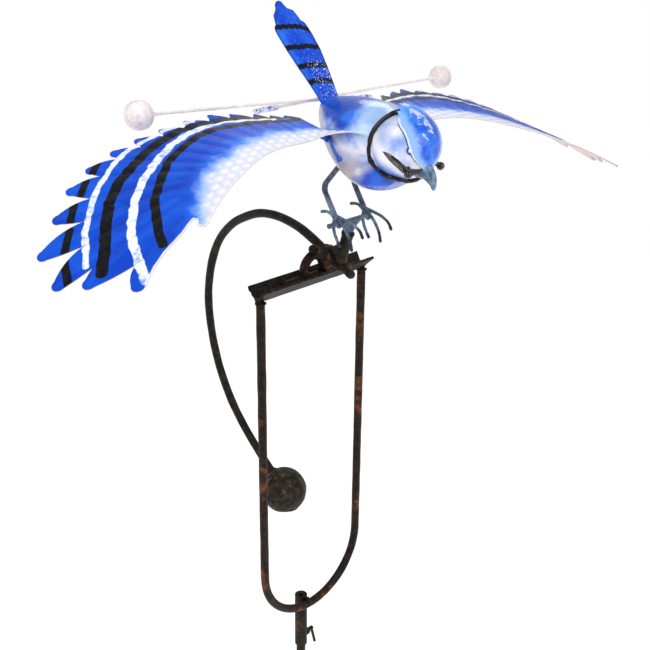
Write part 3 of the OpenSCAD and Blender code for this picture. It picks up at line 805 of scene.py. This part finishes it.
def crest_paint():
    p = Paint("crest_enamel", rough=0.28, coat=0.5)
    soft, fine = p.noise(80, 3, 0.6, 0.5), p.noise(300, 3)
    color = p.tint(rgb(22, 82, 206), rgb(44, 122, 240), soft, 0.38, 0.66)
    # the pale lilac specks along the top of the crown are a painted highlight
    color = p.layers(color, (rgb(64, 150, 250), "rear", 8, 5, 90, 0.8),
                     (rgb(150, 190, 246), p.within(7.5, "edge"), 4, 4, 120, 0.85),
                     (rgb(198, 204, 250), p.specks(p.noise(150, 3, 0.65, 0.3), 0.55, "crown_glint"), 1.6),
                     (rgb(214, 228, 252), p.within(1.0, "edge"), 0.3, 0.5))
    return p.done(color, None, [(fine, 0.2), (soft, 0.5)])


def make_crest():
    rows, cols = 90, 72
    top, edge, crown_glint, rear = [], [], [], []
    for i in range(rows + 1):
        for k in range(cols + 1):
            s = -1 + 2 * k / cols
            # the rear edge is cut into teeth
            saw = abs(((s * 3.5 + 0.25) % 1.0) - 0.5) * 2
            last = CREST_END - 20 * abs(s) ** 1.7 - 8.0 * saw
            theta = CREST_START + (last - CREST_START) * i / rows
            half = crest_half(theta) * (1.0 if theta < 60 else 1.0 - 0.2 * (theta - 60) / 30)
            y = s * half
            lift = 0.5 + 0.5 * abs(s) ** 3 + 3.6 * max(0.0, (theta - 62) / 30) ** 1.5
            top.append(crest_place(theta, y, lift))
            edge.append(half - abs(y))
            # where the crown's painted highlight specks go: a strip along the top
            crown_glint.append(8 - abs(y + 2) * 1.1 - max(0.0, abs(theta - 45) - 18) * 0.5)
            rear.append((theta - 62) * 0.6)
    verts = [p + (p - HEAD_C).normalized() * CREST_THICK for p in top] + top
    add_piece("crest_sheet", (verts, turned(slab(rows, cols))), crest_paint(),
              "crest_plate", attrs={"edge": edge * 2, "crown_glint": crown_glint * 2, "rear": rear * 2},
              flat_angle=50)
    # the dark seam along the crest's edge, and its rivets in their rings
    heads = []
    for s, side in SIDES:
        line = [crest_place(theta, s * (crest_half(theta) + 0.5), 0.05)
                for theta in range(-28, 72, 4)]
        add_piece(side + "_crest_seam", sweep(spline(line, 2), 0.32, 8), JET)
        x, y, z = RIVET
        c = on_head((x, s * y, z), 1.0)
        out = (c - HEAD_C).normalized()
        ring = sweep(around(c, out, 3.0, (0, 360), 12), 0.85, 10, "round")
        add_piece(side + "_rivet_ring", ring, ROYAL)
        c = on_head((x, s * y, z), 0.7)
        out = (c - HEAD_C).normalized()
        heads.append(sweep([c + out * h for h in (-2.0, 0, 0.7, 1.1)],
                           [RIVET_R, RIVET_R, 2.2, 1.4], 24, "round", 0.2, 0.5))
    add_piece("rivet_heads", join(heads), CHALK, "crest_rivets")


# the lower and upper edges of the stripe through the eye, from the cheek to the beak
MASK_LOW = [(121, 34, 168), (126, 32, 162), (133, 26, 153), (135, 20, 147.5), (137, 14, 144),
            (141, 7, 143), (143, 2, 143)]
MASK_HIGH = [(121.2, 34, 168.4), (128, 32, 167), (136, 28, 161), (140, 22, 154.5), (143, 16, 152),
             (146, 9, 151), (147, 3, 150)]
EYE_PLACE, EYE_R = (143.0, 23.0, 149.6), 3.9
BEAK_LINE = [(138, 0, 151), (145, 0, 148.5), (150, 0, 144.5), (153.4, 0, 139), (154.6, 0, 132.8)]


def make_mask():
    p = Paint("mask_enamel", rough=0.18, coat=0.8)
    fine = p.noise(320, 3, 0.65, 0.6)
    streak = p.math("MULTIPLY", p.attr("glint"), p.step(fine, 0.36, 0.6))
    color = p.mix(p.math("MULTIPLY", streak, 0.8), rgb(8, 8, 9), rgb(122, 116, 104))
    mat = p.done(color, None, [(fine, 0.3)])
    rows, cols = 60, 16
    for s, side in SIDES:
        low, high = (spline([(x, s * y, z) for x, y, z in edge], 1.0)
                     for edge in (MASK_LOW, MASK_HIGH))
        verts, glint = [], []
        for front in (True, False):
            for f in (i / rows for i in range(rows + 1)):
                a, b = low[round(f * (len(low) - 1))], high[round(f * (len(high) - 1))]
                fat = min(1.0, 3.0 * f + 0.15)
                for g in (k / cols for k in range(cols + 1)):
                    lift = 0.25 + 1.7 * fat * math.sin(math.pi * g) if front else -1.2
                    verts.append(on_head(a.lerp(b, g), lift))
                    glint.append(math.exp(-((g - 0.55) / 0.16) ** 2)
                                 * max(0.0, math.sin(math.pi * min(1, f * 1.5))))
        add_piece(side + "_eye_stripe", (verts, slab(rows, cols)), mat,
                  attrs={"glint": glint})


def make_eyes():
    p = Paint("eye_glass", rough=0.08, coat=1.0)
    fine = p.noise(500, 2)
    mat = p.done(p.tint(rgb(4, 4, 5), rgb(60, 60, 64), fine, 0.6, 0.72), None, [(fine, 0.15)])
    x, y, z = EYE_PLACE
    for s, side in SIDES:
        c = Vector((x, s * y, z))
        foot = on_head(c, -1.0)
        stalk = [foot.lerp(c, i / 5) for i in range(5)]
        eye = join([ball(c, (EYE_R,) * 3, 36, 48, lumpy(0.25, 0.6)),
                    sweep(stalk, [3.4, 3.0, 2.7, 2.5, 2.5], 20, "round", 0.3, 0.4)])
        add_piece(side + "_eye_bead", eye, mat, side + "_eye")


def make_beak():
    line = spline(BEAK_LINE, 0.8)
    n, sides = len(line) - 1, 40
    verts = []
    for i, c in enumerate(line):
        f = i / n
        d = (line[min(n, i + 1)] - line[max(0, i - 1)]).normalized()
        across = Vector((0, 1, 0))
        up = across.cross(d).normalized()
        up = up if up.x > 0 or up.z > 0 else -up
        wide, tall = 9.2 * (1 - f) ** 0.9 + 1.0, 8.2 * (1 - f) ** 0.75 + 1.1
        for k in range(sides):
            a = 2 * math.pi * k / sides
            ridge = 1 + 0.10 * max(0.0, math.sin(a)) ** 8
            groove = 1 - 0.09 * math.exp(-((math.sin(a) + 0.25) / 0.14) ** 2)
            verts.append(c + across * wide * math.cos(a) * groove
                         + up * tall * math.sin(a) * ridge * groove)
    faces = tube(n, sides) + [tuple(reversed(range(sides))),
                              tuple(range(n * sides, n * sides + sides))]
    base = [min(1.0, i / n * 4.5) for i in range(n + 1) for _ in range(sides)]
    p = Paint("beak_enamel", rough=0.3, coat=0.5)
    fine, wide = p.streaks(220, (0.6, 1.6, 0.6)), p.noise(80, 2)
    color = p.tint(rgb(52, 76, 100), rgb(98, 124, 150), fine, 0.35, 0.65)
    # the pale patches are painted highlights
    color = p.tint(color, rgb(150, 170, 190), wide, 0.5, 0.7, 0.7)
    color = p.tint(color, rgb(12, 14, 20), p.attr("base"), 0.75, 0.25)
    add_piece("beak_horn", (verts, faces), p.done(color, None, [(fine, 0.4)]),
              "beak", attrs={"base": base})


# ---------------------------------------------------------------- flat sheets
def distance(points, *lines):
    """Distance of each point to the nearest of some polylines, in the plane."""
    best = np.full(len(points), 1e9)
    for line in lines:
        for a, b in zip(np.array(line[:-1], float), np.array(line[1:], float)):
            d = b - a
            f = np.clip(((points - a) @ d) / max(1e-9, d @ d), 0, 1)
            best = np.minimum(best, np.hypot(*(points - a - f[:, None] * d).T))
    return best


def inside(points, outline):
    """True for each point that lies within a closed outline."""
    poly = np.array(outline, float)
    out = np.zeros(len(points), bool)
    for (x0, y0), (x1, y1) in zip(poly, np.roll(poly, -1, 0)):
        cross = (y0 > points[:, 1]) != (y1 > points[:, 1])
        if y0 != y1:
            out ^= cross & (points[:, 0] < (x1 - x0) * (points[:, 1] - y0) / (y1 - y0) + x0)
    return out


def even(line, step):
    """The same closed line with a point every step or closer."""
    out = []
    for a, b in zip(line, line[1:] + line[:1]):
        n = max(1, int(math.ceil(math.dist(a, b) / step)))
        out += [(a[0] + (b[0] - a[0]) * i / n, a[1] + (b[1] - a[1]) * i / n) for i in range(n)]
    return out


def sheet_grid(outline, step):
    """A triangle mesh that fills an outline: points in the plane, and faces."""
    rim = np.array(outline, float)
    lo, hi = rim.min(0), rim.max(0)
    grid = np.array([(x + (j % 2) * step / 2, y)
                     for j, y in enumerate(np.arange(lo[1], hi[1], step * 0.866))
                     for x in np.arange(lo[0], hi[0], step)])
    grid = grid[inside(grid, outline)]
    grid = grid[distance(grid, outline + outline[:1]) > 0.55 * step]
    n = len(rim)
    edges = [(i, (i + 1) % n) for i in range(n)]
    verts, _, faces, _, _, _ = delaunay_2d_cdt([Vector(p) for p in (*rim, *grid)], edges,
                                               [list(range(n))], 1, 1e-5)
    return np.array([tuple(v) for v in verts]), [tuple(f) for f in faces]


def two_sided(flat, faces, place, thick):
    """A closed sheet of two faces and a rim. place gives the middle and the normal at (x, y)."""
    spots = [place(x, y) for x, y in flat]
    verts = [p + normal * thick / 2 for p, normal in spots]
    verts += [p - normal * thick / 2 for p, normal in spots]
    n = len(spots)
    edges = {(a, b): 0 for f in faces for a, b in zip(f, f[1:] + f[:1])}
    out = list(faces) + [tuple(n + i for i in reversed(f)) for f in faces]
    return verts, out + [(b, a, n + a, n + b) for a, b in edges if (b, a) not in edges]


def leaf(front_slit, tip, rear_slit, r):
    """A feather's outline from one slit round its tip, of radius r, to the next slit."""
    a, f, b = Vector(front_slit), Vector(tip), Vector(rear_slit)
    back = ((a + b) / 2 - f).normalized()
    side = Vector((-back.y, back.x))
    side = side if side.dot(a - b) > 0 else -side
    c = f + back * r
    start, end = c + side * r, c - side * r
    # the two long edges bow out, the front one less than the rear one
    front_bow = (a + start) / 2 + side * (start - a).length * 0.09
    rear_bow = (b + end) / 2 - side * (end - b).length * 0.2
    out = bend(a, front_bow, start, 7)
    out += [c + side * r * math.cos(t) - back * r * math.sin(t)
            for t in (math.pi * i / 8 for i in range(9))]
    return [tuple(p) for p in out + bend(end, rear_bow, b, 8)[1:] + [b]]


# ---------------------------------------------------------------- tail
# the tail lies in its own plane: u runs from the body to the tip, v to the left
TAIL_BASE, TAIL_THICK = Vector((21.7, 0, 197.8)), 1.3
TAIL_FORWARD, TAIL_UP = slope(math.radians(52.7))
TAIL_LINE = [(-5, -12.5), (6, -14.2), (18, -16.5), (36, -20.5), (58, -24.6), (72, -26.4),
             (78, -26.6), (82, -25.6), (84.5, -22.8), (90, -21.4), (95, -19.6), (98.5, -16),
             (101, -13.8), (105, -12.6), (108.2, -9.8), (109, -6.6), (107.6, -3.8), (104, -1.8),
             (100, -0.6), (98.8, 2.5), (97.6, 5.8), (94, 7.4), (89, 9), (85.6, 10.2),
             (84.4, 12.4), (82, 14.2), (77, 15.3), (66, 17), (52, 17.6), (34, 16.1), (16, 14),
             (6, 12.4), (-5, 11)]
TAIL_BARS = [
    [(81, -28), (80.8, -19), (80.2, -10), (79.4, 0), (77.8, 8), (75, 13), (71.5, 19)],
    [(58.2, -27), (58.4, -17), (57.2, -8), (57.6, 2), (56, 10), (55.4, 15), (52, 20)],
    [(36.6, -24), (37.6, -13), (37.0, -4), (36.8, 5), (35, 12), (33.4, 19)],
    [(19.2, -19), (20.6, -9), (19.8, 0), (19.2, 6), (17.6, 11), (16, 18)]]
BAR_HALF = 2.75  # half the width of a painted bar
TAB_SINK = 2.0


def tail_paint():
    p = Paint("tail_enamel", rough=0.33, coat=0.15, shine=0.15)
    soft, fine, grit = p.noise(60, 3, 0.55, 0.5), p.noise(330, 3, 0.7), p.noise(520, 2, 0.7)
    color = p.tint(rgb(8, 66, 198), rgb(26, 96, 226), soft, 0.4, 0.66)
    color = p.layers(color, (rgb(30, 116, 238), "left", 4, 3, 60, 0.75),
                     (rgb(12, 50, 170), p.within(1.3, "rim"), 0.6, 0.6, 150, 0.7))
    color = p.tint(color, rgb(120, 170, 250), fine, 0.56, 0.7, 0.35)
    color = p.layers(color, (rgb(8, 12, 26), "bar", 0.25, 0.9, 240),
                     (rgb(214, 226, 255), p.specks(grit, 0.615, "spec"), 0.9),
                     (rgb(30, 84, 190), p.beyond(0.5, "under"), 0.05))
    return p.done(color, None, [(fine, 0.3), (soft, 0.4)])


def make_tail():
    outline = even(TAIL_LINE, 1.6)
    flat, faces = sheet_grid(outline, 1.8)

    def place(u, v):
        h = 0.9 * math.sin(math.pi * (u + 5) / 120) - 0.0022 * v * v
        for rib in range(-18, 18, 6):
            h -= 0.38 * math.exp(-((v - rib * (0.62 + 0.004 * u) + 0.02 * u) / 0.8) ** 2)
        h += 0.25 * noise.noise(Vector((u * 0.12, v * 0.12, 4)))
        return TAIL_BASE - TAIL_FORWARD * u + Vector((0, v, 0)) + TAIL_UP * h, TAIL_UP

    u, v = flat[:, 0], flat[:, 1]
    wave = 0.5 * np.sin(v * 0.9 + u * 0.1)
    masks = {"bar": BAR_HALF + wave - distance(flat, *TAIL_BARS),
             "rim": distance(flat, outline + outline[:1]),
             "left": -(v + 10 + u * 0.13),
             "spec": np.minimum(8 - np.abs(v - 3) * 0.7, (44 - u) * 0.4)}
    attrs = {key: np.tile(values, 2) for key, values in masks.items()}
    attrs["under"] = np.repeat([0.0, 1.0], len(flat))
    add_piece("tail_sheet", two_sided(flat, faces, place, TAIL_THICK), tail_paint(),
              "tail_blade", attrs=attrs, flat_angle=50)
    # the tab that the tail is riveted to: a bar pressed flat
    bar = [TAIL_BASE - TAIL_FORWARD * u - TAIL_UP * TAB_SINK for u in range(-8, 18, 2)]
    verts, faces = sweep(bar, [5.2] * 11 + [4.6, 3.6], 20, "round", 0.3)
    verts = [v - TAIL_UP * ((v - TAIL_BASE).dot(TAIL_UP) + TAB_SINK) * 0.72 for v in verts]
    add_piece("tail_tab_plate", (verts, faces), ROYAL, "tail_tab")


# ---------------------------------------------------------------- wings
# both wings are drawn as the left one, seen from above before the flap: x forward, y outward
WING_TOP, WING_FLAT_Y, WING_X0, WING_R, WING_THICK = 184.0, 45.0, 30.0, 600.0, 1.1
WING_PITCH = math.radians(12)
WING_AXIS, WING_UP = slope(WING_PITCH)
FLAP = {-1: math.radians(8), 1: math.radians(3)}
HINGE = {-1 if joint["name"].startswith("right") else 1: yoke_mm(joint["pos_m"])
         for joint in frame["joints"] if joint["name"].endswith("_flap")}

# the feathers' tips and the slits behind them, from the front tip to the root
TIPS = [(155, 326), (121, 346), (104, 359), (69, 350), (45, 323), (24, 298), (13, 273), (6, 245),
        (3, 219), (1, 192), (-1, 164), (-3, 134), (3, 114), (9, 89), (15, 74), (17, 58)]
SLITS = [(133, 310), (108, 311), (87, 319), (66, 305), (47, 288), (29, 267), (18, 245), (16, 221),
         (12, 195), (9, 171), (9, 142), (10, 120), (16, 97), (20, 80), (21, 65), (22, 45)]
TIP_R = [5.2] * 9 + [4.0] * 3 + [2.6] * 4
# the root and the leading edge, with the alula's notch near the tip
FRONT = [(22, 42.5), (40, 42.5), (60, 42.5), (80, 42), (98, 40.5), (101, 41.5), (99, 44.5),
         (90, 48), (81, 54), (76.5, 61), (75.5, 70), (77.5, 82), (79.5, 94), (80, 106), (81, 118),
         (82.5, 130), (86, 145), (91, 159), (99, 178), (108, 198), (115, 212), (121, 223),
         (127, 233), (133, 243), (137.5, 249), (139, 253), (137, 256.5), (132.5, 256.5),
         (128, 253), (126, 254), (128, 259), (134, 271), (140, 290), (147, 305), (152, 313),
         (156.5, 319)]
# where each feather's ridge starts
INNER = [(128, 262), (108, 255), (98, 250), (88, 242), (80, 232), (74, 220), (69, 206), (66, 190),
         (63, 172), (61, 154), (60, 136), (60, 118), (60, 100), (60, 84), (62, 72), (64, 60)]
# painted lines: two black, two white, five short black bars, and the pale part's rear edge
BLACK_1 = [(121, 331), (104, 317), (82, 301), (62, 284), (47, 266), (36, 245), (25, 223),
           (17, 199), (11, 177), (10, 155), (12, 120), (19, 74), (19, 45)]
BLACK_2 = [(133, 287), (119, 281), (102, 270), (86, 260), (69, 242), (50, 220), (38, 196),
           (28, 170), (25, 149), (27, 123), (28, 96), (31, 64), (26, 45)]
WHITE_1 = [(106, 334), (78, 316), (62, 302), (46, 287), (32, 268), (19, 247), (12, 230),
           (9, 209), (4, 187), (2, 156)]
WHITE_2 = [(153, 317), (123, 304), (105, 295), (92, 285), (73, 268), (57, 249), (42, 225),
           (29, 200), (21, 178), (17, 156), (15, 133), (23, 78)]
SHORT_BARS = [[(86, 339), (109, 350)], [(64, 320), (82, 336)], [(40, 300), (57, 315)],
              [(24, 279), (37, 293)], [(10, 259), (21, 272)]]
PALE_EDGE = [(140, 256), (122, 244), (96, 224), (81, 203), (68, 173), (59, 141), (54, 111),
             (52, 71), (56, 40)]
SCALE_LONG, SCALE_WIDE = 10.5, 9.0  # the spacing of the scale-like dimples
RIDGE, GROOVE, DIMPLE, EDGE_LIP = 0.4, 0.5, 0.95, 0.7  # heights of the relief
ROOT_CURL = 14.0
SLEEVE_R, STAPLE_R = 3.15, 1.6


def wing_mid(x, y):
    """A point of the wing's sheet before it is raised, and the sheet's normal."""
    out = y - WING_FLAT_Y
    r = math.sqrt(WING_R ** 2 - out ** 2)
    cp, sp = math.cos(WING_PITCH), math.sin(WING_PITCH)
    z = WING_TOP + (r - WING_R - (x - WING_X0) * sp) / cp
    return Vector((x, y, z)), Vector((sp, out / WING_R * cp, r / WING_R * cp)).normalized()


def raise_wing(p, side):
    """Turns a point of the wing about the hinge, and mirrors it for the right wing."""
    hinge = Vector((HINGE[side].x, abs(HINGE[side].y), HINGE[side].z))
    q = hinge + Matrix.Rotation(FLAP[side], 3, WING_AXIS) @ (Vector(p) - hinge)
    return Vector((q.x, side * q.y, q.z))


def wing_outline():
    line, slit = list(FRONT), (156.5, 320)
    for tip, next_slit, r in zip(TIPS, SLITS, TIP_R):
        line += leaf(slit, tip, next_slit, r)
        slit = next_slit
    return line


def wing_fields(flat, outline):
    """Relief and paint masks for each point of the flat wing."""
    x, y = flat[:, 0], flat[:, 1]
    relief = np.zeros(len(flat))
    for i, inner in enumerate(INNER):
        relief += RIDGE * np.exp(-(distance(flat, [TIPS[i], inner]) / 3.6) ** 2)
        if i < len(INNER) - 1:
            groove = [SLITS[i], tuple((Vector(inner) + Vector(INNER[i + 1])) / 2)]
            relief -= GROOVE * np.exp(-(distance(flat, groove) / 1.5) ** 2)
    rear = np.interp(y, [p[1] for p in PALE_EDGE[::-1]], [p[0] for p in PALE_EDGE[::-1]])
    pale = distance(flat, PALE_EDGE)
    pale = np.where((x > rear) & (y < PALE_EDGE[0][1]), pale, -pale)
    # rows of scale-like dimples in the pale part
    row = y / SCALE_LONG
    col = (x - 0.25 * y) / SCALE_WIDE + 0.5 * (np.floor(row) % 2)
    fx, fy = (col % 1) - 0.5, (row % 1) - 0.5
    scale = np.clip(1 - (fx ** 2 + fy ** 2) * 4.2, 0, 1) ** 0.8
    share = np.clip((pale + 4) / 8, 0, 1)
    relief = relief * (1 - share) + share * (DIMPLE * scale - 0.25)
    rim, lead = distance(flat, outline + outline[:1]), distance(flat, FRONT[4:])
    relief = relief * np.clip(rim / 3.0, 0, 1) + EDGE_LIP * np.exp(-(lead / 1.6) ** 2)
    wave = np.array([noise.noise(Vector((a * 0.055, b * 0.055, 0))) for a, b in flat])
    blob = np.array([noise.noise(Vector((a * 0.16, b * 0.16, 7))) for a, b in flat])
    black = np.minimum(distance(flat, BLACK_1) - 4.3, distance(flat, BLACK_2) - 3.5) + 0.8 * blob
    bars = distance(flat, *SHORT_BARS) - 3.0 + 0.3 * blob
    white = np.minimum(distance(flat, WHITE_1) - 2.4, distance(flat, WHITE_2) - 3.3)
    return {"relief": relief, "black": -np.minimum(black, bars),
            "white": -(white + 1.1 * blob + 0.6 * wave), "pale": pale + 5 * wave,
            "dimple": scale * share, "rim": rim, "lead": lead}


def wing_paint():
    p = Paint("wing_enamel", rough=0.36, coat=0.06, shine=0.1)
    soft, fine = p.noise(26, 3, 0.55, 0.4), p.noise(300, 3, 0.65)
    blotch, relief = p.noise(95, 3, 0.6, 0.6), p.attr("relief")
    blue = p.tint(rgb(5, 62, 188), rgb(10, 84, 214), soft, 0.36, 0.68)
    # painted shade in the grooves and painted highlights on the ridges, driven by the relief
    blue = p.tint(blue, rgb(4, 40, 150), relief, 0.1, -0.5, 0.3)
    blue = p.tint(blue, rgb(36, 116, 236), relief, 0.15, 0.5, 0.2)
    # painted highlights on the raised tops of the dimples, darker between them
    snow = p.tint(rgb(214, 218, 240), rgb(238, 238, 250), p.attr("dimple"), 0.1, 0.9)
    snow = p.tint(snow, rgb(170, 196, 242), blotch, 0.55, 0.7, 0.3)
    milk = p.tint(rgb(232, 238, 250), rgb(120, 160, 232), p.noise(130, 3, 0.6, 0.3), 0.5, 0.72)
    ink = p.tint(rgb(6, 8, 14), rgb(30, 34, 52), fine, 0.5, 0.75)
    color = p.layers(blue, (rgb(30, 118, 240), p.beyond(-7.0, "pale"), 9, 6, 40, 0.85),
                     (rgb(168, 200, 248), p.beyond(-2.0, "pale"), 6, 8, 90, 0.9),
                     (snow, p.beyond(5.0, "pale"), 6, 7, 90),
                     (milk, "white", 0.4, 0.5, 200), (ink, "black", 0.3, 0.4, 200),
                     (rgb(234, 230, 240), p.within(1.3, "lead"), 0.4, 0.4))
    under = p.tint(rgb(206, 186, 180), rgb(222, 206, 200), p.noise(45, 3), 0.35, 0.65)
    # painted shade in the underside's grooves and painted highlights on its ridges
    under = p.tint(under, rgb(178, 150, 144), relief, 0.1, -0.55, 0.6)
    under = p.tint(under, rgb(234, 222, 218), relief, 0.25, 0.6, 0.5)
    under = p.layer(under, rgb(190, 164, 158), p.within(1.2, "rim"), 0.6)
    color = p.tint(color, under, p.attr("under"), 0.45, 0.55)
    return p.done(color, None, [(fine, 0.15), (blotch, 0.35)])


def make_wings():
    outline = even(wing_outline(), 2.2)
    flat, faces = sheet_grid(outline, 2.3)
    fields = wing_fields(flat, outline)
    relief = dict(zip(map(tuple, flat.round(4)), fields["relief"]))
    attrs = {key: np.tile(values, 2) for key, values in fields.items()}
    attrs["under"] = np.repeat([0.0, 1.0], len(flat))
    mat = wing_paint()
    for s, side in SIDES:
        def place(x, y, s=s):
            p, normal = wing_mid(x, y)
            # the root's leading corner curls up from the sheet
            curl = ROOT_CURL * ease(x, 48, 102) * ease(y, 82, 42)
            p = p + normal * (relief[(x.round(4), y.round(4))] + curl)
            q = raise_wing(p, s)
            return q, raise_wing(p + normal, s) - q

        verts, tris = two_sided(flat, faces, place, WING_THICK)
        if s < 0:
            tris = [tuple(reversed(f)) for f in tris]
        add_piece(side + "_wing_sheet", (verts, tris), mat, side + "_wing",
                  side + "_wing_body", attrs, 60)


ROD_END = {-1: Vector((-2, -206, 228)), 1: Vector((3, -207, 219))}
ROD_WELD_Y, ROD_DROP, ROD_BOW, ROD_R, KNOB_R = 80.0, 2.2, 1.2, 1.5, 12.9


def make_wing_rods():
    chalk_ball = brushed_paint("ball_enamel", rgb(222, 208, 206), rgb(240, 230, 229),
                               rgb(248, 242, 241), 0.55, 300.0, 0.5)
    p = Paint("sleeve_enamel", rough=0.4, coat=0.3)
    blot, fine = p.noise(230, 3, 0.6, 0.5), p.noise(420, 2)
    sleeve = p.done(p.tint(rgb(232, 230, 240), rgb(70, 116, 206), blot, 0.42, 0.62), None,
                    [(fine, 0.3)])

    def dents(q, d):
        return q + d * (0.35 * noise.noise(q * 0.12) + 0.22 * noise.noise(q * 0.5) - 0.1)

    for s, side in SIDES:
        body, end, n = side + "_wing_body", ROD_END[s], 100
        start = wing_mid(end.x, ROD_WELD_Y)[0] - Vector((0, 0, ROD_DROP))
        line = [raise_wing(start.lerp(end, i / n)
                           + Vector((0, 0, ROD_BOW * math.sin(math.pi * i / n))), s)
                for i in range(n + 1)]
        # the rod thickens where it meets its ball
        radii = [ROD_R + 0.9 * math.exp(-((i - 96) / 2.2) ** 2) for i in range(n + 1)]
        add_piece(side + "_rod_wire", sweep(line, radii, 16, "round", 0.12, 0.4), CHALK,
                  side + "_wing_rod", body)
        radii = [2.3, 2.6, 2.7, 2.6, 2.7, 2.6, 2.6, 2.7, 2.6, 2.5, 2.2]
        add_piece(side + "_rod_sleeve", sweep(line[1:12], radii, 16, "round", 0.4, 0.4), sleeve,
                  body=body)
        add_piece(side + "_ball_knob", ball(raise_wing(end, s), (KNOB_R,) * 3, 60, 90, dents),
                  chalk_ball, side + "_wing_ball", body)


def make_hinges():
    for s, side in SIDES:
        c = HINGE[s]
        line = [c + WING_AXIS * h for h in range(-14, 15, 2)]
        radii = [SLEEVE_R + 0.12 * math.sin(h) for h in range(15)]
        add_piece(side + "_hinge_sleeve", sweep(line, radii, 24, "flat", 0.2, 0.4), ROYAL,
                  side + "_hinge_tube", side + "_wing_body")
        # the staple: from inside the body, through the sleeve, then down the body's side
        rear = c + WING_AXIS * -18
        path = rounded([rear + Vector((0, -s * 10, 0)) - WING_UP * 2, rear, c + WING_AXIS * 16.5,
                        (75, s * 50.5, 166.5), (85, s * 51.8, 158.0)], 4)
        staple = join([sweep(path, STAPLE_R, 16, "round", 0.2, 0.4),
                       ball(path[-1], (3.0, 2.6, 2.8), 18, 24, lumpy(0.5, 0.5))])
        add_piece(side + "_hinge_staple", staple, ROYAL, side + "_hinge_pin")


def paint_cad_nodes():
    """The nuts, the socket and the screws keep their CAD shapes, with soft edges."""
    for name, mat in (("socket_tube", BLACK_STEEL), ("clamp_nut", BROWN_STEEL),
                      ("clamp_screw", BROWN_STEEL), ("neck_nut", BROWN_STEEL),
                      ("neck_screw", BROWN_STEEL)):
        node = frame["nodes"][name]
        node.data.materials.clear()
        node.data.materials.append(mat)
        soft = node.modifiers.new("edges", "BEVEL")
        soft.width = 0.35 * MM
        soft.segments = 2
        soft.limit_method = "ANGLE"
        soft.angle_limit = math.radians(40)


for make in (make_stake, make_yoke, make_crossbar, make_rocker_bars, make_neck, make_legs,
             make_body, make_head, make_collar, make_crest, make_mask, make_eyes, make_beak,
             make_tail, make_wings, make_wing_rods, make_hinges, paint_cad_nodes):
    make()
